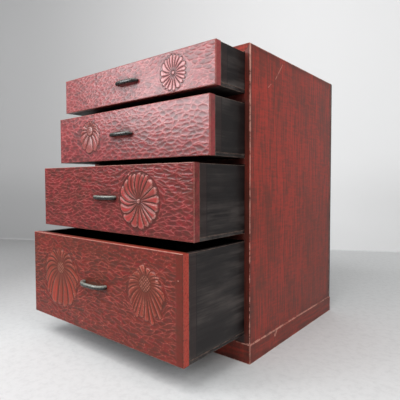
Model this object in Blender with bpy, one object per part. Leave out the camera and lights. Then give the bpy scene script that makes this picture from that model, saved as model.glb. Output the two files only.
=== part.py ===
"""Small lacquered chest of four carved drawers on a plinth, with its drawers drawn out in steps.

Metres, +Z up. The front faces -Y. The origin is on the floor, under the middle of the front plinth rail.
"""

import math
from dataclasses import dataclass

import bmesh
import bpy

# Case: outside width, depth from the front edges of the sides to the outside of the back board, boards
CASE_WIDTH = 0.356
CASE_DEPTH = 0.302
SIDE_THICKNESS = 0.009
TOP_THICKNESS = 0.0102
BOTTOM_THICKNESS = 0.0116
BACK_THICKNESS = 0.005
CASE_EDGE_RADIUS = 0.002
FRONT_EDGE_EASE = 0.001

# Rails between the drawers, counted from the top, and the runners behind them
RAIL_1_THICKNESS = 0.0117
RAIL_2_THICKNESS = 0.0084
RAIL_3_THICKNESS = 0.0095
RAIL_DEPTH = 0.030
RUNNER_WIDTH = 0.015

# Housings cut in the sides for the rails, the runners and the bottom board
HOUSING_DEPTH = 0.003
HOUSING_SETBACK = 0.006

# Plinth frame and the blocks glued into its corners
PLINTH_HEIGHT = 0.0278
PLINTH_THICKNESS = 0.014
PLINTH_PROUD = 0.001
BLOCK_LEG = 0.026
BLOCK_FLOOR_GAP = 0.004

# Drawers, counted from the top: height of each front, and how far each stands drawn out
DRAWER_1_HEIGHT = 0.0571
DRAWER_2_HEIGHT = 0.0771
DRAWER_3_HEIGHT = 0.0967
DRAWER_4_HEIGHT = 0.1352
DRAWER_1_DRAWN = 0.0670
DRAWER_2_DRAWN = 0.0793
DRAWER_3_DRAWN = 0.1106
DRAWER_4_DRAWN = 0.1311

# Boards of a drawer
FRONT_THICKNESS = 0.014
FRONT_RABBET = 0.003
DRAWER_SIDE_THICKNESS = 0.007
DRAWER_BACK_THICKNESS = 0.007
DRAWER_BOTTOM_THICKNESS = 0.0045
DRAWER_SIDE_DROP = 0.0008
DRAWER_BACK_DROP = 0.006

# Clearances: glued or resting boards, drawer to side, drawer to what is over it, drawer to back board
FIT_GAP = 0.0003
DRAWER_SIDE_CLEARANCE = 0.0006
DRAWER_HEADROOM = 0.0008
DRAWER_BACK_CLEARANCE = 0.0006

# Carved flowers: margins from the rim to the long edges of the front, gap from the pull to the rim, and hub
FLOWER_1_TOP_MARGIN = 0.0050
FLOWER_1_BOTTOM_MARGIN = 0.0018
FLOWER_1_PULL_GAP = 0.0450
FLOWER_2_TOP_MARGIN = 0.0105
FLOWER_2_BOTTOM_MARGIN = 0.0115
FLOWER_2_PULL_GAP = 0.0280
FLOWER_2_HUB_LIFT = 0.0120
FLOWER_2_HUB_RADIUS = 0.0080
FLOWER_3_TOP_MARGIN = 0.0105
FLOWER_3_BOTTOM_MARGIN = 0.0080
FLOWER_3_PULL_GAP = 0.0080
FLOWER_4_LEFT_TOP_MARGIN = 0.0195
FLOWER_4_LEFT_BOTTOM_MARGIN = 0.0195
FLOWER_4_LEFT_PULL_GAP = 0.0120
FLOWER_4_LEFT_HUB_LIFT = 0.0170
FLOWER_4_LEFT_HUB_RADIUS = 0.0110
FLOWER_4_RIGHT_TOP_MARGIN = 0.0225
FLOWER_4_RIGHT_BOTTOM_MARGIN = 0.0410
FLOWER_4_RIGHT_PULL_GAP = 0.0410
FLOWER_4_RIGHT_HUB_LIFT = 0.0135
FLOWER_4_RIGHT_HUB_RADIUS = 0.0095
FLOWER_BUTTON_RADIUS = 0.0042
FLOWER_END_MARGIN = 0.004
FLOWER_MOAT_WIDTH = 0.0028
FLOWER_MOAT_DEPTH = 0.0012
FLOWER_PETAL_RISE = 0.0011
FLOWER_PETAL_VALLEY = 0.0013
FLOWER_TIP_ROUND = 0.0028
FLOWER_TIP_SCALLOP = 0.0016
FLOWER_HUB_RISE = 0.0013
FLOWER_HUB_GROOVE = 0.0006
ROUND_FLOWER_PETALS = 18
TILTED_FLOWER_PETALS = 22

# Iron bow pulls: distance between the feet, how far the bar stands off the front, lift over mid-height
PULL_SPAN = 0.0435
PULL_RISE = 0.0075
PULL_3_LIFT = 0.0020
PULL_4_SPAN = 0.0495
PULL_4_RISE = 0.0110
PULL_4_LIFT = 0.0045
PULL_BAR_HALF_DEPTH = 0.0024
PULL_BAR_HALF_HEIGHT = 0.0031
PULL_FOOT_HALF_DEPTH = 0.0032
PULL_FOOT_HALF_HEIGHT = 0.0042
PULL_BOW_POWER = 2.6
PULL_FOOT_TURN = 40
TANG_RADIUS = 0.0016
TANG_HOLE_CLEARANCE = 0.0003
TANG_HEAD_RADIUS = 0.0027
TANG_HEAD_LENGTH = 0.0012
TANG_TIP_RADIUS = 0.0019
ROVE_WIDTH = 0.010
ROVE_THICKNESS = 0.0012

# Facets
ARC_STEPS = 4
TANG_SIDES = 12
PULL_SIDES = 12
PULL_STEPS = 20
PETAL_STEPS = 4
EASE_SEGMENTS = 2
SHARP_ANGLE = 40

# Worked out from the sizes above
CASE_FRONT = PLINTH_PROUD - PLINTH_THICKNESS / 2
CASE_BACK = CASE_FRONT + CASE_DEPTH
BOARDS_BACK = CASE_BACK - BACK_THICKNESS - FIT_GAP
CASE_FOOT = PLINTH_HEIGHT + FIT_GAP
INNER_HALF = CASE_WIDTH / 2 - SIDE_THICKNESS
FRONT_WIDTH = 2 * (INNER_HALF - DRAWER_SIDE_CLEARANCE)
DRAWER_LENGTH = CASE_DEPTH - BACK_THICKNESS - FIT_GAP - DRAWER_BACK_CLEARANCE
FRONT_LIP = FRONT_THICKNESS - FRONT_RABBET
MITRE_SETBACK = FIT_GAP / math.sqrt(2)


@dataclass(frozen=True)
class Finish:
    """Colour, roughness and metallic value of a surface."""

    color: tuple
    roughness: float
    metallic: float = 0.0


RED_LACQUER = Finish((0.235, 0.035, 0.030), 0.38)
CARVED_LACQUER = Finish((0.270, 0.045, 0.040), 0.36)
BLACK_LACQUER = Finish((0.012, 0.011, 0.012), 0.45)
DARK_LACQUER = Finish((0.055, 0.020, 0.018), 0.50)
BARE_WOOD = Finish((0.330, 0.215, 0.120), 0.75)
IRON = Finish((0.110, 0.115, 0.105), 0.48, 0.9)


@dataclass(frozen=True)
class Flower:
    """A chrysanthemum carved on a front: its side of the pull, its margins, petals and hub."""

    side: int
    top_margin: float
    bottom_margin: float
    pull_gap: float
    petals: int
    hub_radius: float
    hub_lift: float = 0.0


@dataclass(frozen=True)
class Pull:
    """An iron bow pull: distance between its feet, how far it stands off, lift over mid-height."""

    span: float
    rise: float
    lift: float = 0.0


@dataclass(frozen=True)
class Drawer:
    """One drawer: height of its front, how far it stands drawn out, its pull and its flowers."""

    name: str
    height: float
    drawn: float
    pull: Pull
    flowers: tuple


FLOWER_1 = Flower(1, FLOWER_1_TOP_MARGIN, FLOWER_1_BOTTOM_MARGIN, FLOWER_1_PULL_GAP,
                  ROUND_FLOWER_PETALS, FLOWER_BUTTON_RADIUS)
FLOWER_2 = Flower(-1, FLOWER_2_TOP_MARGIN, FLOWER_2_BOTTOM_MARGIN, FLOWER_2_PULL_GAP,
                  TILTED_FLOWER_PETALS, FLOWER_2_HUB_RADIUS, FLOWER_2_HUB_LIFT)
FLOWER_3 = Flower(1, FLOWER_3_TOP_MARGIN, FLOWER_3_BOTTOM_MARGIN, FLOWER_3_PULL_GAP,
                  ROUND_FLOWER_PETALS, FLOWER_BUTTON_RADIUS)
FLOWER_4_LEFT = Flower(-1, FLOWER_4_LEFT_TOP_MARGIN, FLOWER_4_LEFT_BOTTOM_MARGIN, FLOWER_4_LEFT_PULL_GAP,
                       TILTED_FLOWER_PETALS, FLOWER_4_LEFT_HUB_RADIUS, FLOWER_4_LEFT_HUB_LIFT)
FLOWER_4_RIGHT = Flower(1, FLOWER_4_RIGHT_TOP_MARGIN, FLOWER_4_RIGHT_BOTTOM_MARGIN, FLOWER_4_RIGHT_PULL_GAP,
                        TILTED_FLOWER_PETALS, FLOWER_4_RIGHT_HUB_RADIUS, FLOWER_4_RIGHT_HUB_LIFT)
SMALL_PULL = Pull(PULL_SPAN, PULL_RISE)
LIFTED_PULL = Pull(PULL_SPAN, PULL_RISE, PULL_3_LIFT)
LARGE_PULL = Pull(PULL_4_SPAN, PULL_4_RISE, PULL_4_LIFT)
DRAWERS = (
    Drawer("drawer_1", DRAWER_1_HEIGHT, DRAWER_1_DRAWN, SMALL_PULL, (FLOWER_1,)),
    Drawer("drawer_2", DRAWER_2_HEIGHT, DRAWER_2_DRAWN, SMALL_PULL, (FLOWER_2,)),
    Drawer("drawer_3", DRAWER_3_HEIGHT, DRAWER_3_DRAWN, LIFTED_PULL, (FLOWER_3,)),
    Drawer("drawer_4", DRAWER_4_HEIGHT, DRAWER_4_DRAWN, LARGE_PULL, (FLOWER_4_LEFT, FLOWER_4_RIGHT)),
)
RAIL_THICKNESSES = (RAIL_1_THICKNESS, RAIL_2_THICKNESS, RAIL_3_THICKNESS)


def clear_scene():
    """Remove every object of the scene."""
    for obj in list(bpy.data.objects):
        bpy.data.objects.remove(obj, do_unlink=True)


def material(name, finish):
    """Principled material of one piece."""
    mat = bpy.data.materials.new(name)
    mat.use_nodes = True
    shader = mat.node_tree.nodes["Principled BSDF"]
    shader.inputs["Base Color"].default_value = (*finish.color, 1.0)
    shader.inputs["Roughness"].default_value = finish.roughness
    shader.inputs["Metallic"].default_value = finish.metallic
    return mat


def piece(name, bm, finish, parent=None, smooth=False):
    """Turn a closed bmesh into a named object with its material, under its parent."""
    bmesh.ops.recalc_face_normals(bm, faces=bm.faces)
    mesh = bpy.data.meshes.new(name)
    bm.to_mesh(mesh)
    bm.free()
    obj = bpy.data.objects.new(name, mesh)
    bpy.context.collection.objects.link(obj)
    mesh.materials.append(material(name, finish))
    if smooth:
        mesh.shade_smooth()
        mesh.set_sharp_from_angle(angle=math.radians(SHARP_ANGLE))
    obj.parent = parent
    return obj


def empty(name, location):
    """Empty that carries a group of pieces."""
    obj = bpy.data.objects.new(name, None)
    bpy.context.collection.objects.link(obj)
    obj.location = location
    return obj


def arc(center, radius, start, end, steps=ARC_STEPS):
    """Points of a circular arc in a plane, angles in degrees."""
    angles = [math.radians(start + (end - start) * k / steps) for k in range(steps + 1)]
    return [(center[0] + radius * math.cos(a), center[1] + radius * math.sin(a)) for a in angles]


def prism(outline, axis, low, high):
    """Extrude a plane outline along an axis: (y, z) along X, (x, z) along Y or (x, y) along Z."""
    place = {
        "X": lambda p, q, along: (along, p, q),
        "Y": lambda p, q, along: (p, along, q),
        "Z": lambda p, q, along: (p, q, along),
    }[axis]
    bm = bmesh.new()
    first = [bm.verts.new(place(p, q, low)) for p, q in outline]
    last = [bm.verts.new(place(p, q, high)) for p, q in outline]
    bm.faces.new(first)
    bm.faces.new(last)
    for k in range(len(outline)):
        nxt = (k + 1) % len(outline)
        bm.faces.new((first[k], first[nxt], last[nxt], last[k]))
    return bm


def box(x_range, y_range, z_range):
    """Closed box between three pairs of bounds."""
    (x0, x1), (y0, y1) = sorted(x_range), y_range
    return prism([(x0, y0), (x1, y0), (x1, y1), (x0, y1)], "Z", *z_range)


def ease(bm, chosen, radius):
    """Round the edges that a test of their two ends chooses."""
    edges = [edge for edge in bm.edges if chosen(*(v.co for v in edge.verts))]
    bmesh.ops.bevel(bm, geom=edges, offset=radius, segments=EASE_SEGMENTS, affect="EDGES", profile=0.5)


def cut(target, name, bm):
    """Take a hidden cutter's shape out of a piece."""
    bmesh.ops.recalc_face_normals(bm, faces=bm.faces)
    mesh = bpy.data.meshes.new(name)
    bm.to_mesh(mesh)
    bm.free()
    tool = bpy.data.objects.new(name, mesh)
    bpy.context.collection.objects.link(tool)
    tool.hide_render = True
    tool.display_type = "WIRE"
    modifier = target.modifiers.new(name, "BOOLEAN")
    modifier.operation = "DIFFERENCE"
    modifier.solver = "EXACT"
    modifier.object = tool


def heights():
    """Stack the case from the floor up.

    Returns the underside of each drawer and of each rail, both counted from the top, and the case's top.
    """
    drawer_feet = []
    rail_feet = []
    level = CASE_FOOT + BOTTOM_THICKNESS
    for k in reversed(range(len(DRAWERS))):
        drawer_feet.insert(0, level + FIT_GAP)
        level += FIT_GAP + DRAWERS[k].height + DRAWER_HEADROOM
        if k > 0:
            rail_feet.insert(0, level)
            level += RAIL_THICKNESSES[k - 1]
    return drawer_feet, rail_feet, level + TOP_THICKNESS


def housed_outline(back):
    """Plan of a board between the sides, whose ends are let into the housings behind the front edge."""
    shoulder = INNER_HALF - FIT_GAP
    ear = INNER_HALF + HOUSING_DEPTH - FIT_GAP
    step = CASE_FRONT + HOUSING_SETBACK + FIT_GAP
    right = [(shoulder, CASE_FRONT), (shoulder, step), (ear, step), (ear, back)]
    return right + [(-x, y) for x, y in reversed(right)]


def build_side(name, sign, case_top, rail_feet, carcass):
    """Side board: mitred to the top, rounded along it, housed for the rails, runners and bottom."""
    outer = CASE_WIDTH / 2
    corner = (outer - CASE_EDGE_RADIUS, case_top - CASE_EDGE_RADIUS)
    rounded = arc(corner, CASE_EDGE_RADIUS, 0, 45)
    mitre_tip = (rounded[-1][0], rounded[-1][1] - MITRE_SETBACK)
    mitre_heel = (INNER_HALF, case_top - TOP_THICKNESS - MITRE_SETBACK)
    profile = [(outer, CASE_FOOT), *rounded[:-1], mitre_tip, mitre_heel, (INNER_HALF, CASE_FOOT)]
    bm = prism([(sign * x, z) for x, z in profile], "Y", CASE_FRONT, BOARDS_BACK)

    def on_front_arris(v):
        """Whether a corner of the board lies on its outer front edge."""
        return v.y < CASE_FRONT + FIT_GAP and abs(v.x) > outer - FIT_GAP

    ease(bm, lambda a, b: on_front_arris(a) and on_front_arris(b), FRONT_EDGE_EASE)
    side = piece(name, bm, RED_LACQUER, carcass)
    past_back = BOARDS_BACK + SIDE_THICKNESS
    past_face = INNER_HALF - HOUSING_DEPTH
    across = (sign * past_face, sign * (INNER_HALF + HOUSING_DEPTH))
    along = (CASE_FRONT + HOUSING_SETBACK, past_back)
    levels = [(foot - FIT_GAP, foot + thick + FIT_GAP) for foot, thick in zip(rail_feet, RAIL_THICKNESSES)]
    levels.append((CASE_FOOT - BOTTOM_THICKNESS, CASE_FOOT + BOTTOM_THICKNESS + FIT_GAP))
    for number, level in enumerate(levels, start=1):
        cut(side, f"{name}_housing_{number}", box(across, along, level))


def build_case(carcass, rail_feet, case_top):
    """Sides, top, bottom, back, rails and runners."""
    build_side("side_left", -1, case_top, rail_feet, carcass)
    build_side("side_right", 1, case_top, rail_feet, carcass)

    corner = (CASE_WIDTH / 2 - CASE_EDGE_RADIUS, case_top - CASE_EDGE_RADIUS)
    rounded = arc(corner, CASE_EDGE_RADIUS, 45, 90)
    tip = (rounded[0][0] - MITRE_SETBACK, rounded[0][1])
    heel = (INNER_HALF - MITRE_SETBACK, case_top - TOP_THICKNESS)
    right = [heel, tip, *rounded[1:]]
    top = prism(right + [(-x, z) for x, z in reversed(right)], "Y", CASE_FRONT, BOARDS_BACK)

    def on_front_arris(v):
        """Whether a corner of the board lies on its upper front edge."""
        return v.y < CASE_FRONT + FIT_GAP and v.z > case_top - FIT_GAP

    ease(top, lambda a, b: on_front_arris(a) and on_front_arris(b), FRONT_EDGE_EASE)
    piece("top_board", top, RED_LACQUER, carcass)

    bottom = prism(housed_outline(BOARDS_BACK), "Z", CASE_FOOT, CASE_FOOT + BOTTOM_THICKNESS)
    piece("bottom_board", bottom, DARK_LACQUER, carcass)

    shoulder = (CASE_BACK - BACK_THICKNESS, case_top - BACK_THICKNESS)
    back_profile = [(CASE_BACK - BACK_THICKNESS, CASE_FOOT), (CASE_BACK, CASE_FOOT),
                    *arc(shoulder, BACK_THICKNESS, 0, 90)]
    back = prism(back_profile, "X", -CASE_WIDTH / 2, CASE_WIDTH / 2)
    piece("back_board", back, DARK_LACQUER, carcass, smooth=True)

    rail_back = CASE_FRONT + RAIL_DEPTH
    runner_span = (rail_back + FIT_GAP, BOARDS_BACK)
    for number, (foot, thick) in enumerate(zip(rail_feet, RAIL_THICKNESSES), start=1):
        rail = prism(housed_outline(rail_back), "Z", foot, foot + thick)
        piece(f"rail_{number}", rail, RED_LACQUER, carcass)
        for side, sign in (("left", -1), ("right", 1)):
            across = (sign * (INNER_HALF - RUNNER_WIDTH), sign * (INNER_HALF + HOUSING_DEPTH - FIT_GAP))
            runner = box(across, runner_span, (foot, foot + thick))
            piece(f"runner_{number}_{side}", runner, BARE_WOOD, carcass)


def is_top_edge(a, b, middle):
    """Whether an edge of a plinth rail is the one on top whose middle is given."""
    near = math.hypot((a.x + b.x) / 2 - middle[0], (a.y + b.y) / 2 - middle[1]) < FIT_GAP
    return near and min(a.z, b.z) > PLINTH_HEIGHT - FIT_GAP


def build_plinth(carcass):
    """Mitred frame under the case, with a glued block in each corner."""
    half = CASE_WIDTH / 2 + PLINTH_PROUD
    front = CASE_FRONT - PLINTH_PROUD
    back = CASE_BACK
    wall = PLINTH_THICKNESS
    set_in = MITRE_SETBACK
    outer_x = half - set_in
    inner_x = half - wall - set_in
    frame = {}
    for end, y_face, y_inner in (("front", front, front + wall), ("back", back, back - wall)):
        frame[f"plinth_{end}"] = [
            (-outer_x, y_face), (outer_x, y_face), (inner_x, y_inner), (-inner_x, y_inner),
        ]
    for side, sign in (("left", -1), ("right", 1)):
        frame[f"plinth_{side}"] = [
            (sign * half, front + set_in), (sign * half, back - set_in),
            (sign * (half - wall), back - wall - set_in), (sign * (half - wall), front + wall + set_in),
        ]
    for name, outline in frame.items():
        rail = prism(outline, "Z", 0.0, PLINTH_HEIGHT)
        (x0, y0), (x1, y1) = outline[:2]
        face_middle = ((x0 + x1) / 2, (y0 + y1) / 2)
        ease(rail, lambda a, b: is_top_edge(a, b, face_middle), FRONT_EDGE_EASE)
        piece(name, rail, RED_LACQUER, carcass)
    x_corner = half - wall - FIT_GAP
    y_front = front + wall + FIT_GAP
    y_back = back - wall - FIT_GAP
    for end, y_corner, y_sign in (("front", y_front, 1), ("back", y_back, -1)):
        for side, sign in (("left", -1), ("right", 1)):
            outline = [(sign * x_corner, y_corner), (sign * (x_corner - BLOCK_LEG), y_corner),
                       (sign * x_corner, y_corner + y_sign * BLOCK_LEG)]
            block = prism(outline, "Z", BLOCK_FLOOR_GAP, PLINTH_HEIGHT)
            piece(f"plinth_block_{end}_{side}", block, BARE_WOOD, carcass)


def circle(bm, x, y, z, radius, sides):
    """Ring of vertices that faces along Y."""
    turns = [2 * math.pi * k / sides for k in range(sides)]
    return [bm.verts.new((x + radius * math.cos(t), y, z + radius * math.sin(t))) for t in turns]


def join_rings(bm, first, second):
    """Faces between two rings of as many vertices."""
    for k in range(len(first)):
        nxt = (k + 1) % len(first)
        bm.faces.new((first[k], first[nxt], second[nxt], second[k]))


def fill_with_holes(bm, loops, normal):
    """Flat face inside the first loop of vertices, with the other loops left open."""
    edges = []
    for loop in loops:
        for k in range(len(loop)):
            pair = (loop[k], loop[(k + 1) % len(loop)])
            edges.append(bm.edges.get(pair) or bm.edges.new(pair))
    bmesh.ops.triangle_fill(bm, use_beauty=True, edges=edges, normal=normal)


def pull_height(drawer):
    """Height of the pull over the foot of its front."""
    return drawer.height / 2 + drawer.pull.lift


def flower_place(drawer, flower):
    """Centre and rim radius of a flower: set by the front's long edges, and limited by its end."""
    near = drawer.pull.span / 2 + PULL_FOOT_HALF_DEPTH + flower.pull_gap
    by_height = (drawer.height - flower.top_margin - flower.bottom_margin) / 2
    by_length = (FRONT_WIDTH / 2 - FLOWER_END_MARGIN - near) / 2
    radius = min(by_height, by_length)
    return flower.side * (near + radius), flower.bottom_margin + by_height, radius


def flower_rings(rim, hub_radius, valley):
    """Distances from the hub and heights along one ray of a flower, from its rim to its hub.

    The ray drops into the moat, climbs the rounded tip of a petal, runs down along the petal to the groove
    round the hub and up over the hub's edge. valley is 0 on a petal's crown and 1 between two petals.
    """
    tip = rim - FLOWER_MOAT_WIDTH - FLOWER_TIP_SCALLOP * valley ** 2
    crown = FLOWER_PETAL_RISE - FLOWER_PETAL_VALLEY * valley ** 2
    shoulder = tip - FLOWER_TIP_ROUND
    along = shoulder - hub_radius
    return (
        (rim, 0.0),
        (rim - FLOWER_MOAT_WIDTH / 3, -FLOWER_MOAT_DEPTH),
        (tip, -FLOWER_MOAT_DEPTH),
        ((tip + shoulder) / 2, (2 * crown - FLOWER_MOAT_DEPTH) / 3),
        (shoulder, crown),
        (hub_radius + along * 2 / 3, crown),
        (hub_radius + along / 3, (2 * crown - FLOWER_HUB_GROOVE) / 3),
        (hub_radius, -FLOWER_HUB_GROOVE),
        (hub_radius * 4 / 5, FLOWER_HUB_RISE),
    )


def carve_flower(bm, drawer, flower):
    """Chrysanthemum in low relief, on rays that leave its hub at equal angles and end on a round rim.

    A lifted hub lies off the rim's centre, so that the rays below it are longer and their petals wider.
    Returns the rim, which lies in the plane of the front.
    """
    x, z, radius = flower_place(drawer, flower)
    columns = flower.petals * PETAL_STEPS
    rays = []
    for k in range(columns):
        turn = 2 * math.pi * k / columns
        along_lift = flower.hub_lift * math.sin(turn)
        rim = -along_lift + math.sqrt(along_lift ** 2 + radius ** 2 - flower.hub_lift ** 2)
        valley = abs((k % PETAL_STEPS) / PETAL_STEPS - 0.5) * 2
        rays.append([
            bm.verts.new((x + r * math.cos(turn), -rise, z + flower.hub_lift + r * math.sin(turn)))
            for r, rise in flower_rings(rim, flower.hub_radius, valley)
        ])
    rings = list(zip(*rays))
    for outer, inner in zip(rings, rings[1:]):
        join_rings(bm, outer, inner)
    bm.faces.new(rings[-1])
    return rings[0]


def build_front(drawer, slide):
    """Carved front: rabbeted behind for the sides and the bottom, and bored for the two tangs."""
    half = FRONT_WIDTH / 2
    top = drawer.height
    tongue = half - DRAWER_SIDE_THICKNESS - FIT_GAP
    foot = DRAWER_BOTTOM_THICKNESS + FIT_GAP
    bm = bmesh.new()
    face = [bm.verts.new((x, 0, z)) for x, z in ((-half, 0), (half, 0), (half, top), (-half, top))]
    lip = [bm.verts.new((x, FRONT_LIP, z)) for x, z in (
        (-half, 0), (half, 0), (half, top), (tongue, top),
        (tongue, foot), (-tongue, foot), (-tongue, top), (-half, top))]
    back = [bm.verts.new((x, FRONT_THICKNESS, z)) for x, z in (
        (tongue, top), (tongue, foot), (-tongue, foot), (-tongue, top))]
    bm.faces.new((face[0], face[1], lip[1], lip[0]))
    bm.faces.new((face[1], face[2], lip[2], lip[1]))
    bm.faces.new((face[3], face[0], lip[0], lip[7]))
    bm.faces.new((face[2], face[3], lip[7], lip[6], back[3], back[0], lip[3], lip[2]))
    bm.faces.new(lip)
    for k in range(3):
        bm.faces.new((lip[3 + k], lip[4 + k], back[1 + k], back[k]))
    front_holes = []
    back_holes = []
    bore = TANG_RADIUS + TANG_HOLE_CLEARANCE
    for sign in (-1, 1):
        x_foot = sign * drawer.pull.span / 2
        mouth = circle(bm, x_foot, 0, pull_height(drawer), bore, TANG_SIDES)
        exit_ring = circle(bm, x_foot, FRONT_THICKNESS, pull_height(drawer), bore, TANG_SIDES)
        join_rings(bm, mouth, exit_ring)
        front_holes.append(mouth)
        back_holes.append(exit_ring)
    rims = [carve_flower(bm, drawer, flower) for flower in drawer.flowers]
    fill_with_holes(bm, [face, *front_holes, *rims], (0, -1, 0))
    fill_with_holes(bm, [back, *back_holes], (0, 1, 0))
    piece(f"{drawer.name}_front", bm, CARVED_LACQUER, slide)


def build_box(drawer, slide):
    """Sides, back and bottom of a drawer: the bottom lies under the sides and shows at its edges."""
    half = FRONT_WIDTH / 2
    start = FRONT_LIP + FIT_GAP
    deck = DRAWER_BOTTOM_THICKNESS + FIT_GAP
    bottom = box((-half, half), (start, DRAWER_LENGTH), (0, DRAWER_BOTTOM_THICKNESS))
    piece(f"{drawer.name}_bottom", bottom, BLACK_LACQUER, slide)
    inner = half - DRAWER_SIDE_THICKNESS
    rim = drawer.height - DRAWER_SIDE_DROP
    for side, sign in (("left", -1), ("right", 1)):
        wall = box((sign * inner, sign * half), (start, DRAWER_LENGTH), (deck, rim))
        piece(f"{drawer.name}_side_{side}", wall, BLACK_LACQUER, slide)
    reach = inner - FIT_GAP
    back = box((-reach, reach), (DRAWER_LENGTH - DRAWER_BACK_THICKNESS, DRAWER_LENGTH),
               (deck, drawer.height - DRAWER_BACK_DROP))
    piece(f"{drawer.name}_back", back, BLACK_LACQUER, slide)


def pull_rings(drawer):
    """Centre, tangent and half sizes of the pull's rings, from the right tang's head to the left one's.

    The bow is half a superellipse from foot to foot, thick at the feet and slimmer along the bar.
    """
    seat = -FIT_GAP
    rove_back = FRONT_THICKNESS + FIT_GAP + ROVE_THICKNESS
    head = rove_back + FIT_GAP
    tip = head + TANG_HEAD_LENGTH
    x_foot = drawer.pull.span / 2
    leaving = (0.0, -1.0)
    returning = (0.0, 1.0)
    tang = [
        (tip, TANG_TIP_RADIUS),
        (head + TANG_HEAD_LENGTH / 2, TANG_HEAD_RADIUS),
        (head, TANG_HEAD_RADIUS),
        (head, TANG_RADIUS),
        (seat, TANG_RADIUS),
    ]
    right = [((x_foot, y), leaving, radius, radius) for y, radius in tang]
    bow = []
    power = 2 / PULL_BOW_POWER
    for k in range(PULL_STEPS + 1):
        angle = math.pi * k / PULL_STEPS
        c, s = math.cos(angle), math.sin(angle)
        x = x_foot * math.copysign(abs(c) ** power, c)
        y = seat - drawer.pull.rise * max(s, 0.0) ** power
        slim = min(1.0, s / math.sin(math.radians(PULL_FOOT_TURN)))
        depth = PULL_FOOT_HALF_DEPTH + (PULL_BAR_HALF_DEPTH - PULL_FOOT_HALF_DEPTH) * slim
        height = PULL_FOOT_HALF_HEIGHT + (PULL_BAR_HALF_HEIGHT - PULL_FOOT_HALF_HEIGHT) * slim
        bow.append([(x, y), None, depth, height])
    for k in range(1, PULL_STEPS):
        (x0, y0), (x1, y1) = bow[k - 1][0], bow[k + 1][0]
        length = math.hypot(x1 - x0, y1 - y0)
        bow[k][1] = ((x1 - x0) / length, (y1 - y0) / length)
    bow[0][1] = leaving
    bow[-1][1] = returning
    left = [((-x_foot, y), returning, radius, radius) for y, radius in reversed(tang)]
    return right + bow + left


def build_pull(drawer, slide):
    """Iron bow with two tangs through the front, each riveted over a square rove."""
    z = pull_height(drawer)
    turns = [2 * math.pi * k / PULL_SIDES for k in range(PULL_SIDES)]
    bm = bmesh.new()
    rings = []
    for (x, y), (tx, ty), depth, height in pull_rings(drawer):
        across = [(depth * math.cos(t), height * math.sin(t)) for t in turns]
        rings.append([bm.verts.new((x - ty * d, y + tx * d, z + h)) for d, h in across])
    for first, second in zip(rings, rings[1:]):
        join_rings(bm, first, second)
    bm.faces.new(rings[0])
    bm.faces.new(rings[-1])
    piece(f"{drawer.name}_pull", bm, IRON, slide, smooth=True)
    for side, sign in (("left", -1), ("right", 1)):
        build_rove(f"{drawer.name}_rove_{side}", sign * drawer.pull.span / 2, z, slide)


def build_rove(name, x, z, slide):
    """Square iron washer behind a front, bored for the tang."""
    half = ROVE_WIDTH / 2
    corners = ((-half, -half), (half, -half), (half, half), (-half, half))
    bm = bmesh.new()
    squares = []
    holes = []
    for y in (FRONT_THICKNESS + FIT_GAP, FRONT_THICKNESS + FIT_GAP + ROVE_THICKNESS):
        squares.append([bm.verts.new((x + dx, y, z + dz)) for dx, dz in corners])
        holes.append(circle(bm, x, y, z, TANG_RADIUS + TANG_HOLE_CLEARANCE, TANG_SIDES))
    join_rings(bm, *squares)
    join_rings(bm, *holes)
    fill_with_holes(bm, [squares[0], holes[0]], (0, -1, 0))
    fill_with_holes(bm, [squares[1], holes[1]], (0, 1, 0))
    piece(name, bm, IRON, slide)


def main():
    """Build the case, its plinth and the four drawers."""
    clear_scene()
    drawer_feet, rail_feet, case_top = heights()
    carcass = empty("case", (0, 0, 0))
    build_plinth(carcass)
    build_case(carcass, rail_feet, case_top)
    for drawer, foot in zip(DRAWERS, drawer_feet):
        slide = empty(f"{drawer.name}_slide", (0, CASE_FRONT - drawer.drawn, foot))
        build_front(drawer, slide)
        build_box(drawer, slide)
        build_pull(drawer, slide)


main()
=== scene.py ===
"""Looks of a small chest of four carved, lacquered drawers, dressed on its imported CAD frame.

Metres, +Z up. The front faces -Y, and the chest stands on z = 0. The carved fronts and the iron pulls are
surfaces worked out here, with their own sizes in millimetres. Every other board is the frame's own node with
a procedural finish.
"""

import logging
import math
from dataclasses import dataclass
from enum import Enum
from functools import cached_property
from itertools import product

import bpy
import numpy as np
from mathutils import Matrix, Vector


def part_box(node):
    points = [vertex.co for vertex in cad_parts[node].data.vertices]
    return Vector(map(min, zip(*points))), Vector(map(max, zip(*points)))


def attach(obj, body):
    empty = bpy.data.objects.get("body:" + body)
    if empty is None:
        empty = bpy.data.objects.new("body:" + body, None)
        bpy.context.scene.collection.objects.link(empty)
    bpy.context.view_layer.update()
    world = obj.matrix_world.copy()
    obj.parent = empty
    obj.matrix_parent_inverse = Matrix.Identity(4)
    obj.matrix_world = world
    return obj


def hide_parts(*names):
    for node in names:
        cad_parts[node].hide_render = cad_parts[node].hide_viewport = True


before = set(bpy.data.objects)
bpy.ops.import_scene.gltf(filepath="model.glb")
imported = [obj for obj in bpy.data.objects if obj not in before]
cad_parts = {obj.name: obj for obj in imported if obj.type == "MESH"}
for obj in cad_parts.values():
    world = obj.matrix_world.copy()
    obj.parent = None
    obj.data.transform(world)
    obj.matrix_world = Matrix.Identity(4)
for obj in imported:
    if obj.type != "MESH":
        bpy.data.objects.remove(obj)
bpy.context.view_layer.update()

LOG = logging.getLogger("chest")

Array = np.ndarray
Colour = tuple[float, float, float, float]
Place = tuple[float, float, float]

MM = 0.001
FIT_GAP = 0.3 * MM
FRONT_THICKNESS = 14 * MM
ARRIS = 0.6 * MM
ARRIS_SEGMENTS = 2
WELD_REACH = 0.01 * MM
SHARP_ANGLE = math.radians(38)
SIDES = ("left", "right")
FRONT_RINGS = 5
ORIGIN = Vector().freeze()


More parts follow.
